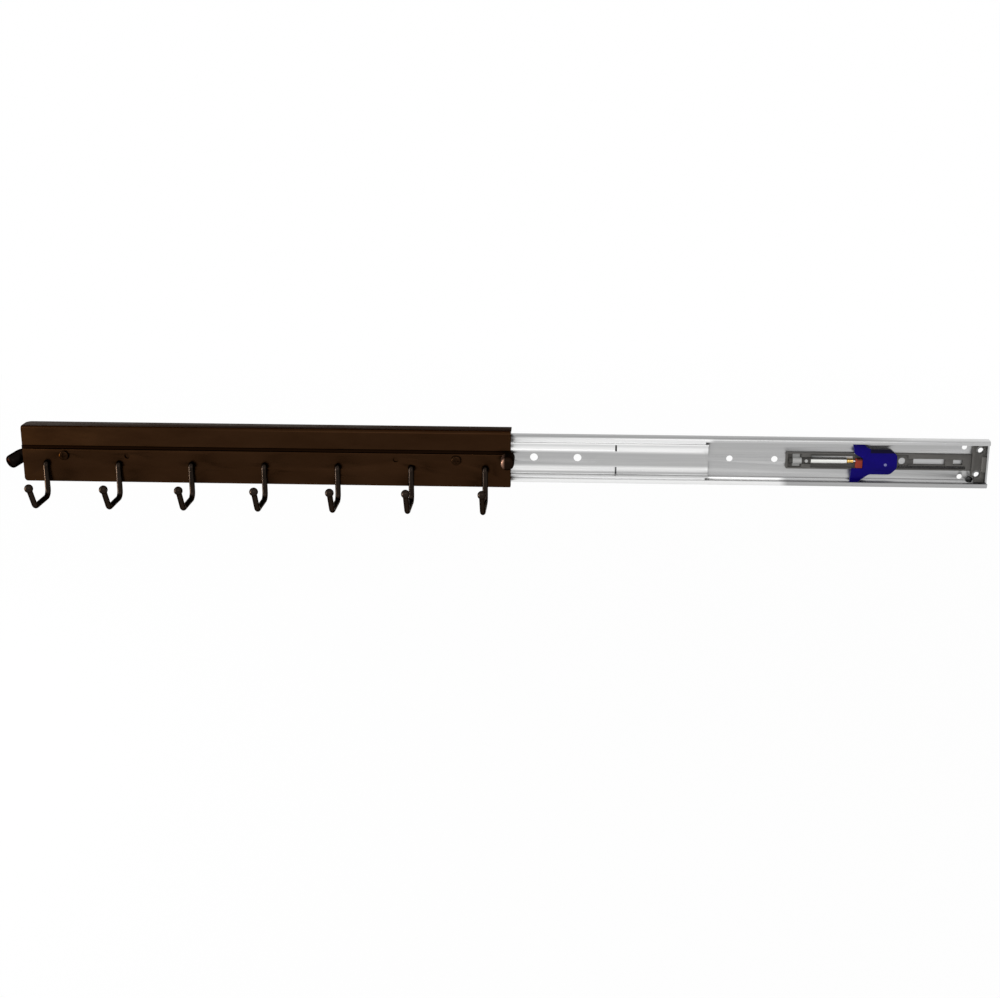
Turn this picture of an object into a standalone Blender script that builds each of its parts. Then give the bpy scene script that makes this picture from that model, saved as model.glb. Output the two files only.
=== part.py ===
"""Pull-out belt rack: a bronze rail with wire hooks on a three-part ball slide with a soft close.

Metres, +Z up. The slide lies along X and closes towards +X, and +Y points into the cabinet wall.
The origin is the middle of the slide's back face. The rack is modelled pulled out to its full length.
A depth is measured from the cabinet wall towards the user (along -Y), and a height from the slide's
centre line.
"""
import math

import bmesh
import bpy
from mathutils import Matrix, Vector

MM = 0.001

# Slide members, roll-formed from steel strip
SLIDE_LENGTH = 348 * MM
SLIDE_HEIGHT = 35 * MM
OUTER_SHEET = 1.2 * MM
OUTER_LIP = 3.0 * MM
OUTER_BEND = 1.8 * MM
MIDDLE_LENGTH = 340 * MM
MIDDLE_SHEET = 0.9 * MM
MIDDLE_DEPTH = 4.7 * MM
MIDDLE_BEND = 1.2 * MM
MIDDLE_OVERLAP = 150 * MM
BEAD_DEPTH = 0.4 * MM
BEAD_WIDTH = 3.4 * MM
BEAD_SLOPE = 0.8 * MM
BEAD_MARGIN = 1.4 * MM
INNER_SHEET = 1.0 * MM
INNER_BEND = 1.2 * MM
INNER_OVERLAP = 186 * MM
LIP_GAP = 0.7 * MM

# Ball rows and the cages that carry them
BALL = 3.5 * MM
BALL_PLAY = 0.28 * MM
BALLS_IN_ROW = 7
BALL_PITCH = 19 * MM
CAGE_SHEET = 0.5 * MM
CAGE_GAP = 0.3 * MM
CAGE_END = 16 * MM
CAGE_EDGE = 0.3 * MM
CAGE_BEND = 0.6 * MM
LEAF_GAP = 0.4 * MM
OUTER_CAGE_INSET = 2 * MM
INNER_CAGE_INSET = 16 * MM

# Holes in the slide, measured along it from an end
MOUNT_HOLE = 4.6 * MM
MOUNT_HOLES = (165.8 * MM, 198 * MM)
MOUNT_SLOTS = (25 * MM, 56.4 * MM)
SLOT_WIDTH = 7.2 * MM
SLOT_HEIGHT = 9.6 * MM
SLOT_DROP = 1.0 * MM
ACCESS_HOLE = 6.4 * MM
REAR_HOLE = 3.4 * MM
REAR_HOLES = ((15.7 * MM, 10.7 * MM), (17.7 * MM, -11.1 * MM), (4.2 * MM, 8.5 * MM), (5.8 * MM, -9.4 * MM))
NOTCH_WIDTH = 1.2 * MM
NOTCH_HEIGHT = 5.2 * MM
NOTCH_FROM_REAR = 66 * MM
END_TAB_DEPTH = 9 * MM
END_TAB_GAP = 0.8 * MM

# Rail
RAIL_LENGTH = 355.6 * MM
RAIL_HEIGHT = 41.2 * MM
RAIL_WALL = 3.4 * MM
RAIL_OVERHANG = 12.6 * MM
HOOD_WALL = 2.0 * MM
HOOD_CLEARANCE = 1.9 * MM
HOOD_ROUND = 2.4 * MM
WALL_GAP = 0.5 * MM
RAIL_EDGE = 0.8 * MM
RAIL_CORNER = 2.8 * MM
GROOVE_RISE = 25.6 * MM
GROOVE_HEIGHT = 3.0 * MM
GROOVE_DEPTH = 1.3 * MM
GROOVE_SLOPE = 0.6 * MM
SCREW_FROM_FRONT = 30.5 * MM
SCREW_FROM_REAR = 39.1 * MM
SPARE_FROM_FRONT = 77 * MM
SPARE_FROM_REAR = 82.8 * MM

# Rail screws
SCREW_SHANK = 3.4 * MM
SCREW_REACH = 7 * MM
SCREW_HEAD = 6.8 * MM
SCREW_HEAD_HEIGHT = 1.9 * MM
SCREW_DOME = 1.1 * MM
SOCKET = 2.6 * MM
SOCKET_DEPTH = 1.0 * MM

# Hooks
HOOK_COUNT = 7
HOOK_FROM_FRONT = 17.4 * MM
HOOK_FROM_REAR = 18.2 * MM
HOOK_WIRE = 3.7 * MM
HOOK_EYE_RISE = 14.05 * MM
HOOK_DROP = 10.25 * MM
HOOK_REACH = 31 * MM
HOOK_TIP_REACH = 40.9 * MM
HOOK_TIP_RISE = 16.05 * MM
HOOK_BEND = 3.2 * MM
HOOK_BALL = 6.2 * MM

# Finger pull at the front end and bumper at the rear end of the rail
PULL_ROD = 10.2 * MM
PULL_BEND = 5.6 * MM
PULL_STEM = 3.2 * MM
PULL_LENGTH = 11.4 * MM
PULL_TURN = math.radians(48)
PULL_DROP = 2.6 * MM
PULL_DIP = 2.4 * MM
PULL_PLATE = 2.0 * MM
PULL_TENON = 14 * MM
PULL_ROUND = 1.2 * MM
BUMPER = 10 * MM
BUMPER_INSET = 2.2 * MM
BUMPER_RISE = 0.4 * MM
BUMPER_TILT = math.radians(9)
BUMPER_PROUD = 9.5 * MM
BUMPER_BACK = 1.3 * MM
BUMPER_EDGE = 3.0 * MM

# Soft close, measured along the slide
TRAY_FLOOR = 0.6 * MM
TRAY_WALL = 1.0 * MM
TRAY_HEIGHT = 12 * MM
TRAY_RISE = 2.5 * MM
TRAY_END = 1.5 * MM
DAMPER = 4.0 * MM
DAMPER_BORE = 2.8 * MM
DAMPER_LENGTH = 41 * MM
DAMPER_END = 1.2 * MM
DAMPER_SEAT = 0.8 * MM
SADDLE_START = 11.2 * MM
SADDLE_LENGTH = 6.6 * MM
GLAND_LENGTH = 4.4 * MM
GLAND = 3.2 * MM
ROD = 1.3 * MM
ROD_SHOW = 1.6 * MM
PISTON_LENGTH = 3 * MM
PISTON_START = 1.3 * MM
COUPLING_LENGTH = 4.8 * MM
COUPLING_TOP = 2.1 * MM
COUPLING_BOTTOM = 4.7 * MM
TRIGGER_LENGTH = 33.5 * MM
TRIGGER_LEAD = 4.3 * MM
TRIGGER_MOUTH = 6.4 * MM
TRIGGER_CAP = 1.3 * MM
TRIGGER_HEIGHT = 18.4 * MM
TRIGGER_TRAVEL = 32 * MM
TRIGGER_NOSE = 4.5 * MM
WING_LENGTH = 8 * MM
WING_TAPER = 6 * MM
WING_GAP = 2.6 * MM
KEEL = 4.0 * MM
KEEL_INSET = 1.5 * MM
PEG = 1.0 * MM
PEG_INSET = 6.5 * MM
SLOT_WALL = 0.5 * MM
SLOT_MARGIN = 4 * MM
WINDOW_LENGTH = 7 * MM
WINDOW_HEIGHT = 3.6 * MM
WINDOW_GAP = 5.4 * MM
FRONT_WINDOW_HEIGHT = 8 * MM
WELL_HEIGHT = 6.8 * MM
ROUND_WINDOW = 5 * MM
ANCHOR_WALL = 1.9 * MM
TRAY_TAIL = 3.9 * MM
SPRING = 1.8 * MM
SPRING_WIRE = 0.36 * MM
SPRING_CURLS = 28
CURL_POINTS = 8

# Rear stop block and the rivet beside it
STOP_LENGTH = 9 * MM
STOP_WALL_GAP = 2.3 * MM
STOP_CORNER = 3 * MM
STOP_BUFFER = 11 * MM
STOP_BUFFER_LENGTH = 2.6 * MM
STOP_NOTCH = 2.5 * MM
STOP_NOTCH_RISE = 3.6 * MM
STOP_BUFFER_DEPTH = 8.2 * MM
STOP_HOLE = 3.6 * MM
RIVET_EDGE = 3.0 * MM
RIVET_HEAD = 5.0 * MM
RIVET_HEAD_HEIGHT = 1.0 * MM
RIVET_SHANK = 2.0 * MM

# Clearances
SEAT_GAP = 0.2 * MM
RUN_GAP = 0.3 * MM
FIT_GAP = 0.3 * MM

ROUND_STEPS = 16
ARC_STEPS = 4
WIRE_RESOLUTION = 2
THROUGH = 10 * MM
WELD = 1e-7

# Depths of the stack, from the wall outwards
tray_back = OUTER_SHEET + SEAT_GAP
tray_floor = tray_back + TRAY_FLOOR
damper_axis = OUTER_SHEET + RUN_GAP + DAMPER / 2
mechanism_top = damper_axis + DAMPER / 2
middle_back = mechanism_top + RUN_GAP + BEAD_DEPTH
middle_front = middle_back + MIDDLE_SHEET
slide_front = middle_back + MIDDLE_DEPTH
cage_back = middle_front + CAGE_GAP
cage_front = cage_back + CAGE_SHEET
inner_back = slide_front + LIP_GAP
inner_front = inner_back + INNER_SHEET
rail_back = inner_front + FIT_GAP
rail_front = rail_back + RAIL_WALL
hook_depth = rail_front + FIT_GAP + HOOK_WIRE / 2

# Heights, from the slide's centre line
race_gap = BALL + 2 * BALL_PLAY
flange_inside = SLIDE_HEIGHT / 2 - OUTER_SHEET
band_outside = flange_inside - race_gap
band_inside = band_outside - MIDDLE_SHEET
inner_outside = band_inside - race_gap
inner_inside = inner_outside - INNER_SHEET
outer_row = flange_inside - race_gap / 2
inner_row = band_inside - race_gap / 2
hood_under = SLIDE_HEIGHT / 2 + HOOD_CLEARANCE
rail_top = hood_under + HOOD_WALL
rail_bottom = rail_top - RAIL_HEIGHT

# Places along the slide, with the rack pulled out
outer_x = (-SLIDE_LENGTH / 2, SLIDE_LENGTH / 2)
middle_x = (outer_x[0] + MIDDLE_OVERLAP - MIDDLE_LENGTH, outer_x[0] + MIDDLE_OVERLAP)
inner_x = (middle_x[0] + INNER_OVERLAP - RAIL_LENGTH + RAIL_OVERHANG, middle_x[0] + INNER_OVERLAP)
rail_x = (inner_x[0], inner_x[0] + RAIL_LENGTH)
cage_length = (BALLS_IN_ROW - 1) * BALL_PITCH + 2 * CAGE_END
stop_x = (outer_x[1] - OUTER_SHEET - FIT_GAP - STOP_LENGTH, outer_x[1] - OUTER_SHEET - FIT_GAP)
rivet_x = stop_x[0] + STOP_NOTCH - FIT_GAP - RIVET_HEAD / 2
rivet_height = RIVET_EDGE - flange_inside

# Places in the soft close, from the front of its tray
damper_start = TRAY_END + DAMPER_SEAT
gland_start = damper_start + DAMPER_LENGTH + FIT_GAP
coupling_start = gland_start + GLAND_LENGTH + ROD_SHOW
coupling_end = coupling_start + COUPLING_LENGTH
trigger_start = coupling_start - TRIGGER_LEAD
trigger_end = trigger_start + TRIGGER_LENGTH
keel_start = coupling_end + 2 * FIT_GAP
keel_end = trigger_end - KEEL_INSET
peg_place = trigger_end - PEG_INSET
block_start = coupling_end + TRIGGER_TRAVEL + 2 * FIT_GAP
slot_end = keel_end + TRIGGER_TRAVEL + SLOT_MARGIN
window_start = slot_end + WINDOW_GAP
groove_end = window_start + WINDOW_LENGTH + ANCHOR_WALL
tray_length = groove_end + TRAY_TAIL
tray_x = stop_x[0] - FIT_GAP - tray_length
tray_top = tray_back + TRAY_RISE
cap_back = mechanism_top - TRIGGER_CAP
basin = TRAY_HEIGHT / 2 - TRAY_WALL
slot_half = KEEL / 2 + FIT_GAP
spring_height = -(slot_half + SLOT_WALL + basin) / 2
spring_depth = tray_floor + SEAT_GAP + SPRING / 2

for old in list(bpy.data.objects):
    bpy.data.objects.remove(old, do_unlink=True)

rack = bpy.data.collections.new("pull_out_belt_rack")
cutters = bpy.data.collections.new("cutters")
bpy.context.scene.collection.children.link(rack)
bpy.context.scene.collection.children.link(cutters)

# Turns that lay a shape's own axes along the rack's: a plan looks along -Y, a section runs along X
PLAN = Matrix.Rotation(math.pi / 2, 4, "X")
SECTION = Matrix(((0, 0, -1, 0), (-1, 0, 0, 0), (0, 1, 0, 0), (0, 0, 0, 1)))
TOWARDS_USER = (math.pi / 2, 0, 0)
TOWARDS_REAR = (0, math.pi / 2, 0)


def material(name, colour, roughness, metallic):
    made = bpy.data.materials.new(name)
    made.use_nodes = True
    shader = made.node_tree.nodes["Principled BSDF"]
    shader.inputs["Base Color"].default_value = (*colour, 1)
    shader.inputs["Roughness"].default_value = roughness
    shader.inputs["Metallic"].default_value = metallic
    return made


FINISHES = {
    "zinc": ((0.62, 0.62, 0.61), 0.32, 1.0),
    "bright_steel": ((0.78, 0.78, 0.77), 0.15, 1.0),
    "bronze": ((0.026, 0.012, 0.005), 0.38, 0.7),
    "dark_bronze": ((0.012, 0.007, 0.004), 0.3, 0.7),
    "black_rubber": ((0.01, 0.009, 0.009), 0.6, 0.0),
    "grey_plastic": ((0.075, 0.073, 0.071), 0.5, 0.0),
    "blue_plastic": ((0.007, 0.003, 0.14), 0.4, 0.0),
    "red_plastic": ((0.5, 0.03, 0.03), 0.45, 0.0),
    "brass": ((0.6, 0.36, 0.1), 0.3, 1.0),
    "spring_steel": ((0.08, 0.08, 0.085), 0.35, 1.0),
}


def carriage(name, x):
    """Empty on the slide's centre line that carries the pieces of one body."""
    empty = bpy.data.objects.new(name, None)
    empty.location = (x, 0, 0)
    rack.objects.link(empty)
    return empty


def part(name, mesh, carrier, location, finish, rotation=(0, 0, 0)):
    """Sub-part at a world location, parented to the empty of its body, with its own material."""
    made = bpy.data.objects.new(name, mesh)
    made.parent = carrier
    made.location = Vector(location) - carrier.location
    made.rotation_euler = rotation
    mesh.materials.append(material(name, *FINISHES[finish]))
    rack.objects.link(made)
    return made


def boolean(target, operation, name, mesh, location=(0, 0, 0), solver="EXACT"):
    """Join or cut a part with another mesh that is kept as a hidden guide."""
    tool = bpy.data.objects.new(name, mesh)
    tool.location = location
    tool.hide_render = True
    tool.display_type = "WIRE"
    cutters.objects.link(tool)
    step = target.modifiers.new(name, "BOOLEAN")
    step.operation = operation
    step.solver = solver
    step.object = tool


def round_corners(points, closed=False):
    """Points along a path of (x, y, ..., radius) corners, each rounded by an arc of its radius."""
    corners = [Vector(point[:-1]).to_3d() for point in points]
    out = []
    for index, corner in enumerate(corners):
        radius = points[index][-1]
        if radius == 0 or (not closed and index in (0, len(corners) - 1)):
            out.append(corner)
            continue
        back = (corners[index - 1] - corner).normalized()
        ahead = (corners[(index + 1) % len(corners)] - corner).normalized()
        half = back.angle(ahead) / 2
        centre = corner + (back + ahead).normalized() * radius / math.sin(half)
        start = (corner + back * radius / math.tan(half) - centre).normalized()
        end = (corner + ahead * radius / math.tan(half) - centre).normalized()
        out += [centre + radius * start.slerp(end, step / ARC_STEPS) for step in range(ARC_STEPS + 1)]
    return out


def mesh_of(bm, name):
    mesh = bpy.data.meshes.new(name)
    bm.to_mesh(mesh)
    bm.free()
    return mesh


def curve_mesh(curve, turn=None):
    """Closed mesh of a curve, with its caps welded on."""
    guide = bpy.data.objects.new(curve.name, curve)
    bpy.context.scene.collection.objects.link(guide)
    bpy.context.view_layer.update()
    shown = guide.evaluated_get(bpy.context.evaluated_depsgraph_get())
    mesh = bpy.data.meshes.new_from_object(shown)
    bpy.data.objects.remove(guide)
    bm = bmesh.new()
    bm.from_mesh(mesh)
    bmesh.ops.remove_doubles(bm, verts=bm.verts, dist=WELD)
    bmesh.ops.recalc_face_normals(bm, faces=bm.faces)
    bm.to_mesh(mesh)
    bm.free()
    mesh.transform(turn or Matrix())
    return mesh


def extruded(name, corners, thickness, turn):
    """Flat outline of (x, y, radius) corners, thickened half each way and turned into place."""
    outline = round_corners(corners, closed=True)
    curve = bpy.data.curves.new(name, "CURVE")
    curve.dimensions = "2D"
    curve.fill_mode = "BOTH"
    curve.extrude = thickness / 2
    spline = curve.splines.new("POLY")
    spline.points.add(len(outline) - 1)
    for point, place in zip(spline.points, outline):
        point.co = (*place, 1)
    spline.use_cyclic_u = True
    return curve_mesh(curve, turn)


def wire(name, path, diameter, radii=None, resolution=WIRE_RESOLUTION):
    """Round bar along a path, with flat ends; radii scale it from point to point."""
    curve = bpy.data.curves.new(name, "CURVE")
    curve.dimensions = "3D"
    curve.bevel_depth = diameter / 2
    curve.bevel_resolution = resolution
    curve.use_fill_caps = True
    spline = curve.splines.new("POLY")
    spline.points.add(len(path) - 1)
    for index, place in enumerate(path):
        spline.points[index].co = (*place, 1)
        spline.points[index].radius = radii[index] if radii else 1
    return curve_mesh(curve)


def formed_strip(name, section, length):
    """Open surface of a roll-formed strip: a (depth, height, radius) section drawn along X."""
    bm = bmesh.new()
    verts = [bm.verts.new((0, -point.x, point.y)) for point in round_corners(section)]
    edges = [bm.edges.new(pair) for pair in zip(verts, verts[1:])]
    drawn = bmesh.ops.extrude_edge_only(bm, edges=edges)["geom"]
    moved = [item for item in drawn if isinstance(item, bmesh.types.BMVert)]
    bmesh.ops.translate(bm, verts=moved, vec=(length, 0, 0))
    return mesh_of(bm, name)


def thicken(target, thickness):
    step = target.modifiers.new("sheet", "SOLIDIFY")
    step.thickness = thickness
    step.offset = 0
    step.use_even_offset = True


def turned(name, profile, closed=False):
    """Edges of a (radius, height) profile, run down its outer side, for a Screw modifier about Z."""
    bm = bmesh.new()
    verts = [bm.verts.new((radius, 0, height)) for radius, height in profile]
    for pair in zip(verts, verts[1:]):
        bm.edges.new(pair)
    if closed:
        bm.edges.new((verts[-1], verts[0]))
    return mesh_of(bm, name)


def spin(target, steps=ROUND_STEPS):
    step = target.modifiers.new("turn", "SCREW")
    step.steps = steps
    step.render_steps = steps
    step.use_merge_vertices = True
    step.merge_threshold = WELD
    step.use_smooth_shade = True


def boxes(name, places):
    """Boxes from (low, high) corners of (x, depth, height)."""
    bm = bmesh.new()
    for low, high in places:
        size = Vector(high) - Vector(low)
        middle = (Vector(high) + Vector(low)) / 2
        scale = Matrix.Diagonal((size.x, size.y, size.z, 1))
        bmesh.ops.create_cube(bm, size=1, matrix=Matrix.Translation((middle.x, -middle.y, middle.z)) @ scale)
    return mesh_of(bm, name)


def rods(name, places, length):
    """Round cutters along Y from (x, height, diameter), centred on the wall plane they cut."""
    bm = bmesh.new()
    for x, height, diameter in places:
        bmesh.ops.create_cone(
            bm, cap_ends=True, segments=ROUND_STEPS, radius1=diameter / 2, radius2=diameter / 2,
            depth=length, matrix=Matrix.Translation((x, 0, height)) @ PLAN,
        )
    return mesh_of(bm, name)


def spheres(name, places, diameter):
    bm = bmesh.new()
    for place in places:
        bmesh.ops.create_icosphere(bm, subdivisions=2, radius=diameter / 2, matrix=Matrix.Translation(place))
    return mesh_of(bm, name)


def mirrored(half):
    """Section made whole from its upper half, which ends short of the centre line."""
    return half + [(depth, -height, radius) for depth, height, radius in reversed(half)]


outer_seat = carriage("outer_seat", 0)
middle_carriage = carriage("intermediate_carriage", middle_x[0])
rail_carriage = carriage("rail_carriage", rail_x[0])
outer_cage_carriage = carriage("outer_cage_carriage", outer_x[0])
inner_cage_carriage = carriage("inner_cage_carriage", rail_x[1])
trigger_carriage = carriage("trigger_carriage", tray_x + trigger_start)


def outer_member():
    lip_depth = slide_front - OUTER_SHEET / 2
    flange = SLIDE_HEIGHT / 2 - OUTER_SHEET / 2
    section = mirrored([
        (lip_depth, SLIDE_HEIGHT / 2 - OUTER_LIP, 0),
        (lip_depth, flange, OUTER_BEND),
        (OUTER_SHEET / 2, flange, OUTER_BEND),
    ])
    strip = formed_strip("outer_member", section, SLIDE_LENGTH)
    member = part("outer_member", strip, outer_seat, (outer_x[0], 0, 0), "zinc")
    thicken(member, OUTER_SHEET)
    tab_edge = 0.1 * OUTER_SHEET
    tab_half = flange_inside - END_TAB_GAP
    tab = boxes("end_tab", [(
        (outer_x[1] - OUTER_SHEET - tab_edge, OUTER_SHEET / 2, -tab_half),
        (outer_x[1] - tab_edge, END_TAB_DEPTH, tab_half),
    )])
    boolean(member, "UNION", "end_tab", tab)
    holes = [(outer_x[0] + place, 0, MOUNT_HOLE) for place in MOUNT_HOLES]
    holes += [(outer_x[1] - place, height, REAR_HOLE) for place, height in REAR_HOLES]
    holes.append((rivet_x, rivet_height, RIVET_SHANK + 2 * SEAT_GAP))
    boolean(member, "DIFFERENCE", "outer_holes", rods("outer_holes", holes, THROUGH))
    across = SLOT_WIDTH / 2
    up = SLOT_HEIGHT / 2
    bend = 0.9 * across
    slot = [(-across, -up, bend), (across, -up, bend), (across, up, bend), (-across, up, bend)]
    for number, place in enumerate(MOUNT_SLOTS, start=1):
        name = f"mount_slot_{number}"
        boolean(member, "DIFFERENCE", name, extruded(name, slot, THROUGH, PLAN), (outer_x[0] + place, 0, -SLOT_DROP))


def intermediate_member():
    web = middle_back + MIDDLE_SHEET / 2
    band = band_outside - MIDDLE_SHEET / 2
    bead_top = band - MIDDLE_BEND - BEAD_MARGIN
    section = mirrored([
        (slide_front, band, 0),
        (web, band, MIDDLE_BEND),
        (web, bead_top, 0),
        (web - BEAD_DEPTH, bead_top - BEAD_SLOPE, 0),
        (web - BEAD_DEPTH, bead_top - BEAD_WIDTH + BEAD_SLOPE, 0),
        (web, bead_top - BEAD_WIDTH, 0),
    ])
    strip = formed_strip("intermediate_member", section, MIDDLE_LENGTH)
    member = part("intermediate_member", strip, middle_carriage, (middle_x[0], 0, 0), "zinc")
    thicken(member, MIDDLE_SHEET)
    holes = [(outer_x[0] + place, 0, ACCESS_HOLE) for place in MOUNT_SLOTS]
    access = rods("access_holes", holes, THROUGH)
    boolean(member, "DIFFERENCE", "access_holes", access, (0, -web, 0))
    notch_x = middle_x[1] - NOTCH_FROM_REAR
    bead = bead_top - BEAD_WIDTH / 2
    notches = boxes("bead_notches", [(
        (notch_x - NOTCH_WIDTH / 2, web - MIDDLE_DEPTH, height - NOTCH_HEIGHT / 2),
        (notch_x + NOTCH_WIDTH / 2, web + MIDDLE_DEPTH, height + NOTCH_HEIGHT / 2),
    ) for height in (bead, -bead)])
    boolean(member, "DIFFERENCE", "bead_notches", notches)


def screw_places():
    return (rail_x[0] + SCREW_FROM_FRONT, rail_x[1] - SCREW_FROM_REAR)


def inner_member():
    flange = inner_outside - INNER_SHEET / 2
    web = inner_back + INNER_SHEET / 2
    section = mirrored([(cage_front + CAGE_GAP, flange, 0), (web, flange, INNER_BEND)])
    strip = formed_strip("inner_member", section, inner_x[1] - inner_x[0])
    member = part("inner_member", strip, rail_carriage, (inner_x[0], 0, 0), "zinc")
    thicken(member, INNER_SHEET)
    holes = [(x, 0, SCREW_SHANK + 2 * FIT_GAP) for x in screw_places()]
    boolean(member, "DIFFERENCE", "inner_holes", rods("inner_holes", holes, THROUGH), (0, -web, 0))


def row_places(start, depth, height):
    return [(start + CAGE_END + index * BALL_PITCH, -depth, height) for index in range(BALLS_IN_ROW)]


def outer_cages():
    """One row of balls in each race between the outer and the intermediate member, in a folded strip."""
    depth = slide_front - OUTER_SHEET - BALL_PLAY - BALL / 2
    start = outer_x[0] + OUTER_CAGE_INSET
    back = depth - BALL / 2 + CAGE_EDGE
    leaf = slide_front - OUTER_SHEET - LEAF_GAP
    for name, side in (("outer_cage_upper", 1), ("outer_cage_lower", -1)):
        height = side * outer_row
        section = [(back, height, 0), (leaf, height, CAGE_BEND), (leaf, side * (band_outside + LEAF_GAP), 0)]
        strip = formed_strip(name, section, cage_length)
        cage = part(name, strip, outer_cage_carriage, (start, 0, 0), "bright_steel")
        thicken(cage, CAGE_SHEET)
        balls = spheres(f"{name}_balls", row_places(start, depth, height), BALL)
        boolean(cage, "UNION", f"{name}_balls", balls)


def inner_cage():
    """Channel that carries both rows of balls between the intermediate and the inner member."""
    depth = cage_front + BALL_PLAY + BALL / 2
    web = cage_back + CAGE_SHEET / 2
    start = rail_x[1] - INNER_CAGE_INSET - cage_length
    section = mirrored([(depth + BALL / 2 - CAGE_EDGE, inner_row, 0), (web, inner_row, INNER_BEND)])
    strip = formed_strip("inner_cage", section, cage_length)
    cage = part("inner_cage", strip, inner_cage_carriage, (start, 0, 0), "bright_steel")
    thicken(cage, CAGE_SHEET)
    places = row_places(start, depth, inner_row) + row_places(start, depth, -inner_row)
    boolean(cage, "UNION", "inner_balls", spheres("inner_balls", places, BALL))


def hook_places():
    first = rail_x[0] + HOOK_FROM_FRONT
    pitch = (RAIL_LENGTH - HOOK_FROM_FRONT - HOOK_FROM_REAR) / (HOOK_COUNT - 1)
    return [first + index * pitch for index in range(HOOK_COUNT)]


def belt_rail():
    """Extruded rail: a flange behind the hooks, a groove along it and a hood over the slide."""
    groove_low = rail_bottom + GROOVE_RISE - GROOVE_HEIGHT / 2
    groove_high = groove_low + GROOVE_HEIGHT
    groove_floor = rail_front - GROOVE_DEPTH
    section = [
        (rail_back, rail_bottom, RAIL_EDGE),
        (rail_front, rail_bottom, RAIL_EDGE),
        (rail_front, groove_low, 0),
        (groove_floor, groove_low + GROOVE_SLOPE, 0),
        (groove_floor, groove_high - GROOVE_SLOPE, 0),
        (rail_front, groove_high, 0),
        (rail_front, rail_top, HOOD_ROUND),
        (WALL_GAP, rail_top, RAIL_EDGE / 2),
        (WALL_GAP, hood_under, RAIL_EDGE / 2),
        (rail_back, hood_under, RAIL_EDGE),
    ]
    solid = extruded("belt_rail", section, RAIL_LENGTH + THROUGH, SECTION)
    middle = (rail_x[0] + rail_x[1]) / 2
    rail = part("belt_rail", solid, rail_carriage, (middle, 0, 0), "bronze")
    end = RAIL_LENGTH / 2
    low = rail_bottom
    high = rail_top + THROUGH
    trim = [(-end, low, RAIL_CORNER), (end, low, RAIL_CORNER), (end, high, 0), (-end, high, 0)]
    outline = extruded("rail_outline", trim, 2 * THROUGH, PLAN)
    boolean(rail, "INTERSECT", "rail_outline", outline, (middle, -THROUGH + WALL_GAP, 0))
    spares = (rail_x[0] + SPARE_FROM_FRONT, rail_x[1] - SPARE_FROM_REAR)
    holes = [(x, 0, SCREW_SHANK + 2 * FIT_GAP) for x in screw_places() + spares]
    eye = rail_bottom + HOOK_EYE_RISE
    holes += [(x, eye, HOOK_WIRE + 2 * FIT_GAP) for x in hook_places()]
    cut = rods("rail_holes", holes, THROUGH)
    boolean(rail, "DIFFERENCE", "rail_holes", cut, (0, -(rail_back + rail_front) / 2, 0))


def belt_hooks():
    """Wire hooks: a stub in the flange, a shank, a level foot and a raised tip with a ball."""
    eye = rail_bottom + HOOK_EYE_RISE
    foot = rail_bottom - HOOK_DROP
    tip = Vector((0, -(rail_front + HOOK_TIP_REACH), foot + HOOK_TIP_RISE))
    path = round_corners([
        (0, -(rail_back + FIT_GAP), eye, 0),
        (0, -hook_depth, eye, HOOK_WIRE / 2 + FIT_GAP),
        (0, -hook_depth, foot, HOOK_BEND),
        (0, -(rail_front + HOOK_REACH), foot, HOOK_BEND),
        (*tip, 0),
    ])
    for number, x in enumerate(hook_places(), start=1):
        name = f"belt_hook_{number}"
        hook = part(name, wire(name, path, HOOK_WIRE), rail_carriage, (x, 0, 0), "dark_bronze")
        ball = spheres(f"{name}_ball", [tip], HOOK_BALL)
        boolean(hook, "UNION", f"{name}_ball", ball, (x, 0, 0))


def rail_screws():
    """Round-head screws that hold the rail on the inner member."""
    head = SCREW_HEAD / 2
    seat = SCREW_REACH
    top = seat + SCREW_HEAD_HEIGHT
    profile = [
        (0, top - SOCKET_DEPTH),
        (SOCKET / 2, top - SOCKET_DEPTH),
        (SOCKET / 2, top),
        (head - SCREW_DOME, top),
        (head, top - SCREW_DOME),
        (head, seat),
        (SCREW_SHANK / 2, seat),
        (SCREW_SHANK / 2, 0),
        (0, 0),
    ]
    for name, x in zip(("rail_screw_front", "rail_screw_rear"), screw_places()):
        place = (x, -(rail_front + SEAT_GAP - SCREW_REACH), 0)
        screw = part(name, turned(name, profile), rail_carriage, place, "dark_bronze", TOWARDS_USER)
        spin(screw)


def finger_pull():
    """Bent round bar at the front end, plugged into the open end of the inner member."""
    rod_depth = inner_front - PULL_ROD / 2
    root = -FIT_GAP
    elbow = Vector((root - PULL_STEM, -rod_depth, -PULL_DROP))
    lean = Vector((-math.cos(PULL_TURN), -math.sin(PULL_TURN), 0)) * PULL_LENGTH
    tip = elbow + lean - Vector((0, 0, PULL_DIP))
    bar = round_corners([(root, -rod_depth, -PULL_DROP, 0), (*elbow, PULL_BEND), (*tip, 0)])
    inwards = (elbow - tip).normalized() * PULL_ROUND
    rounding = [tip + inwards * (1 - math.sin(step * math.pi / 6)) for step in range(4)]
    scales = [1 - 2 * PULL_ROUND / PULL_ROD * (1 - math.cos(step * math.pi / 6)) for step in range(4)]
    path = bar[:-1] + rounding
    radii = [1] * (len(bar) - 1) + scales
    mesh = wire("finger_pull", path, PULL_ROD, radii, 2 * WIRE_RESOLUTION)
    pull = part("finger_pull", mesh, rail_carriage, (rail_x[0], 0, 0), "dark_bronze")
    plug_half = inner_inside - FIT_GAP
    plug_back = cage_front + 2 * CAGE_GAP
    plug = boxes("pull_plug", [(
        (root - PULL_PLATE, plug_back, -plug_half),
        (PULL_TENON, inner_back - FIT_GAP, plug_half),
    )])
    boolean(pull, "UNION", "pull_plug", plug, (rail_x[0], 0, 0), "MANIFOLD")


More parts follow.
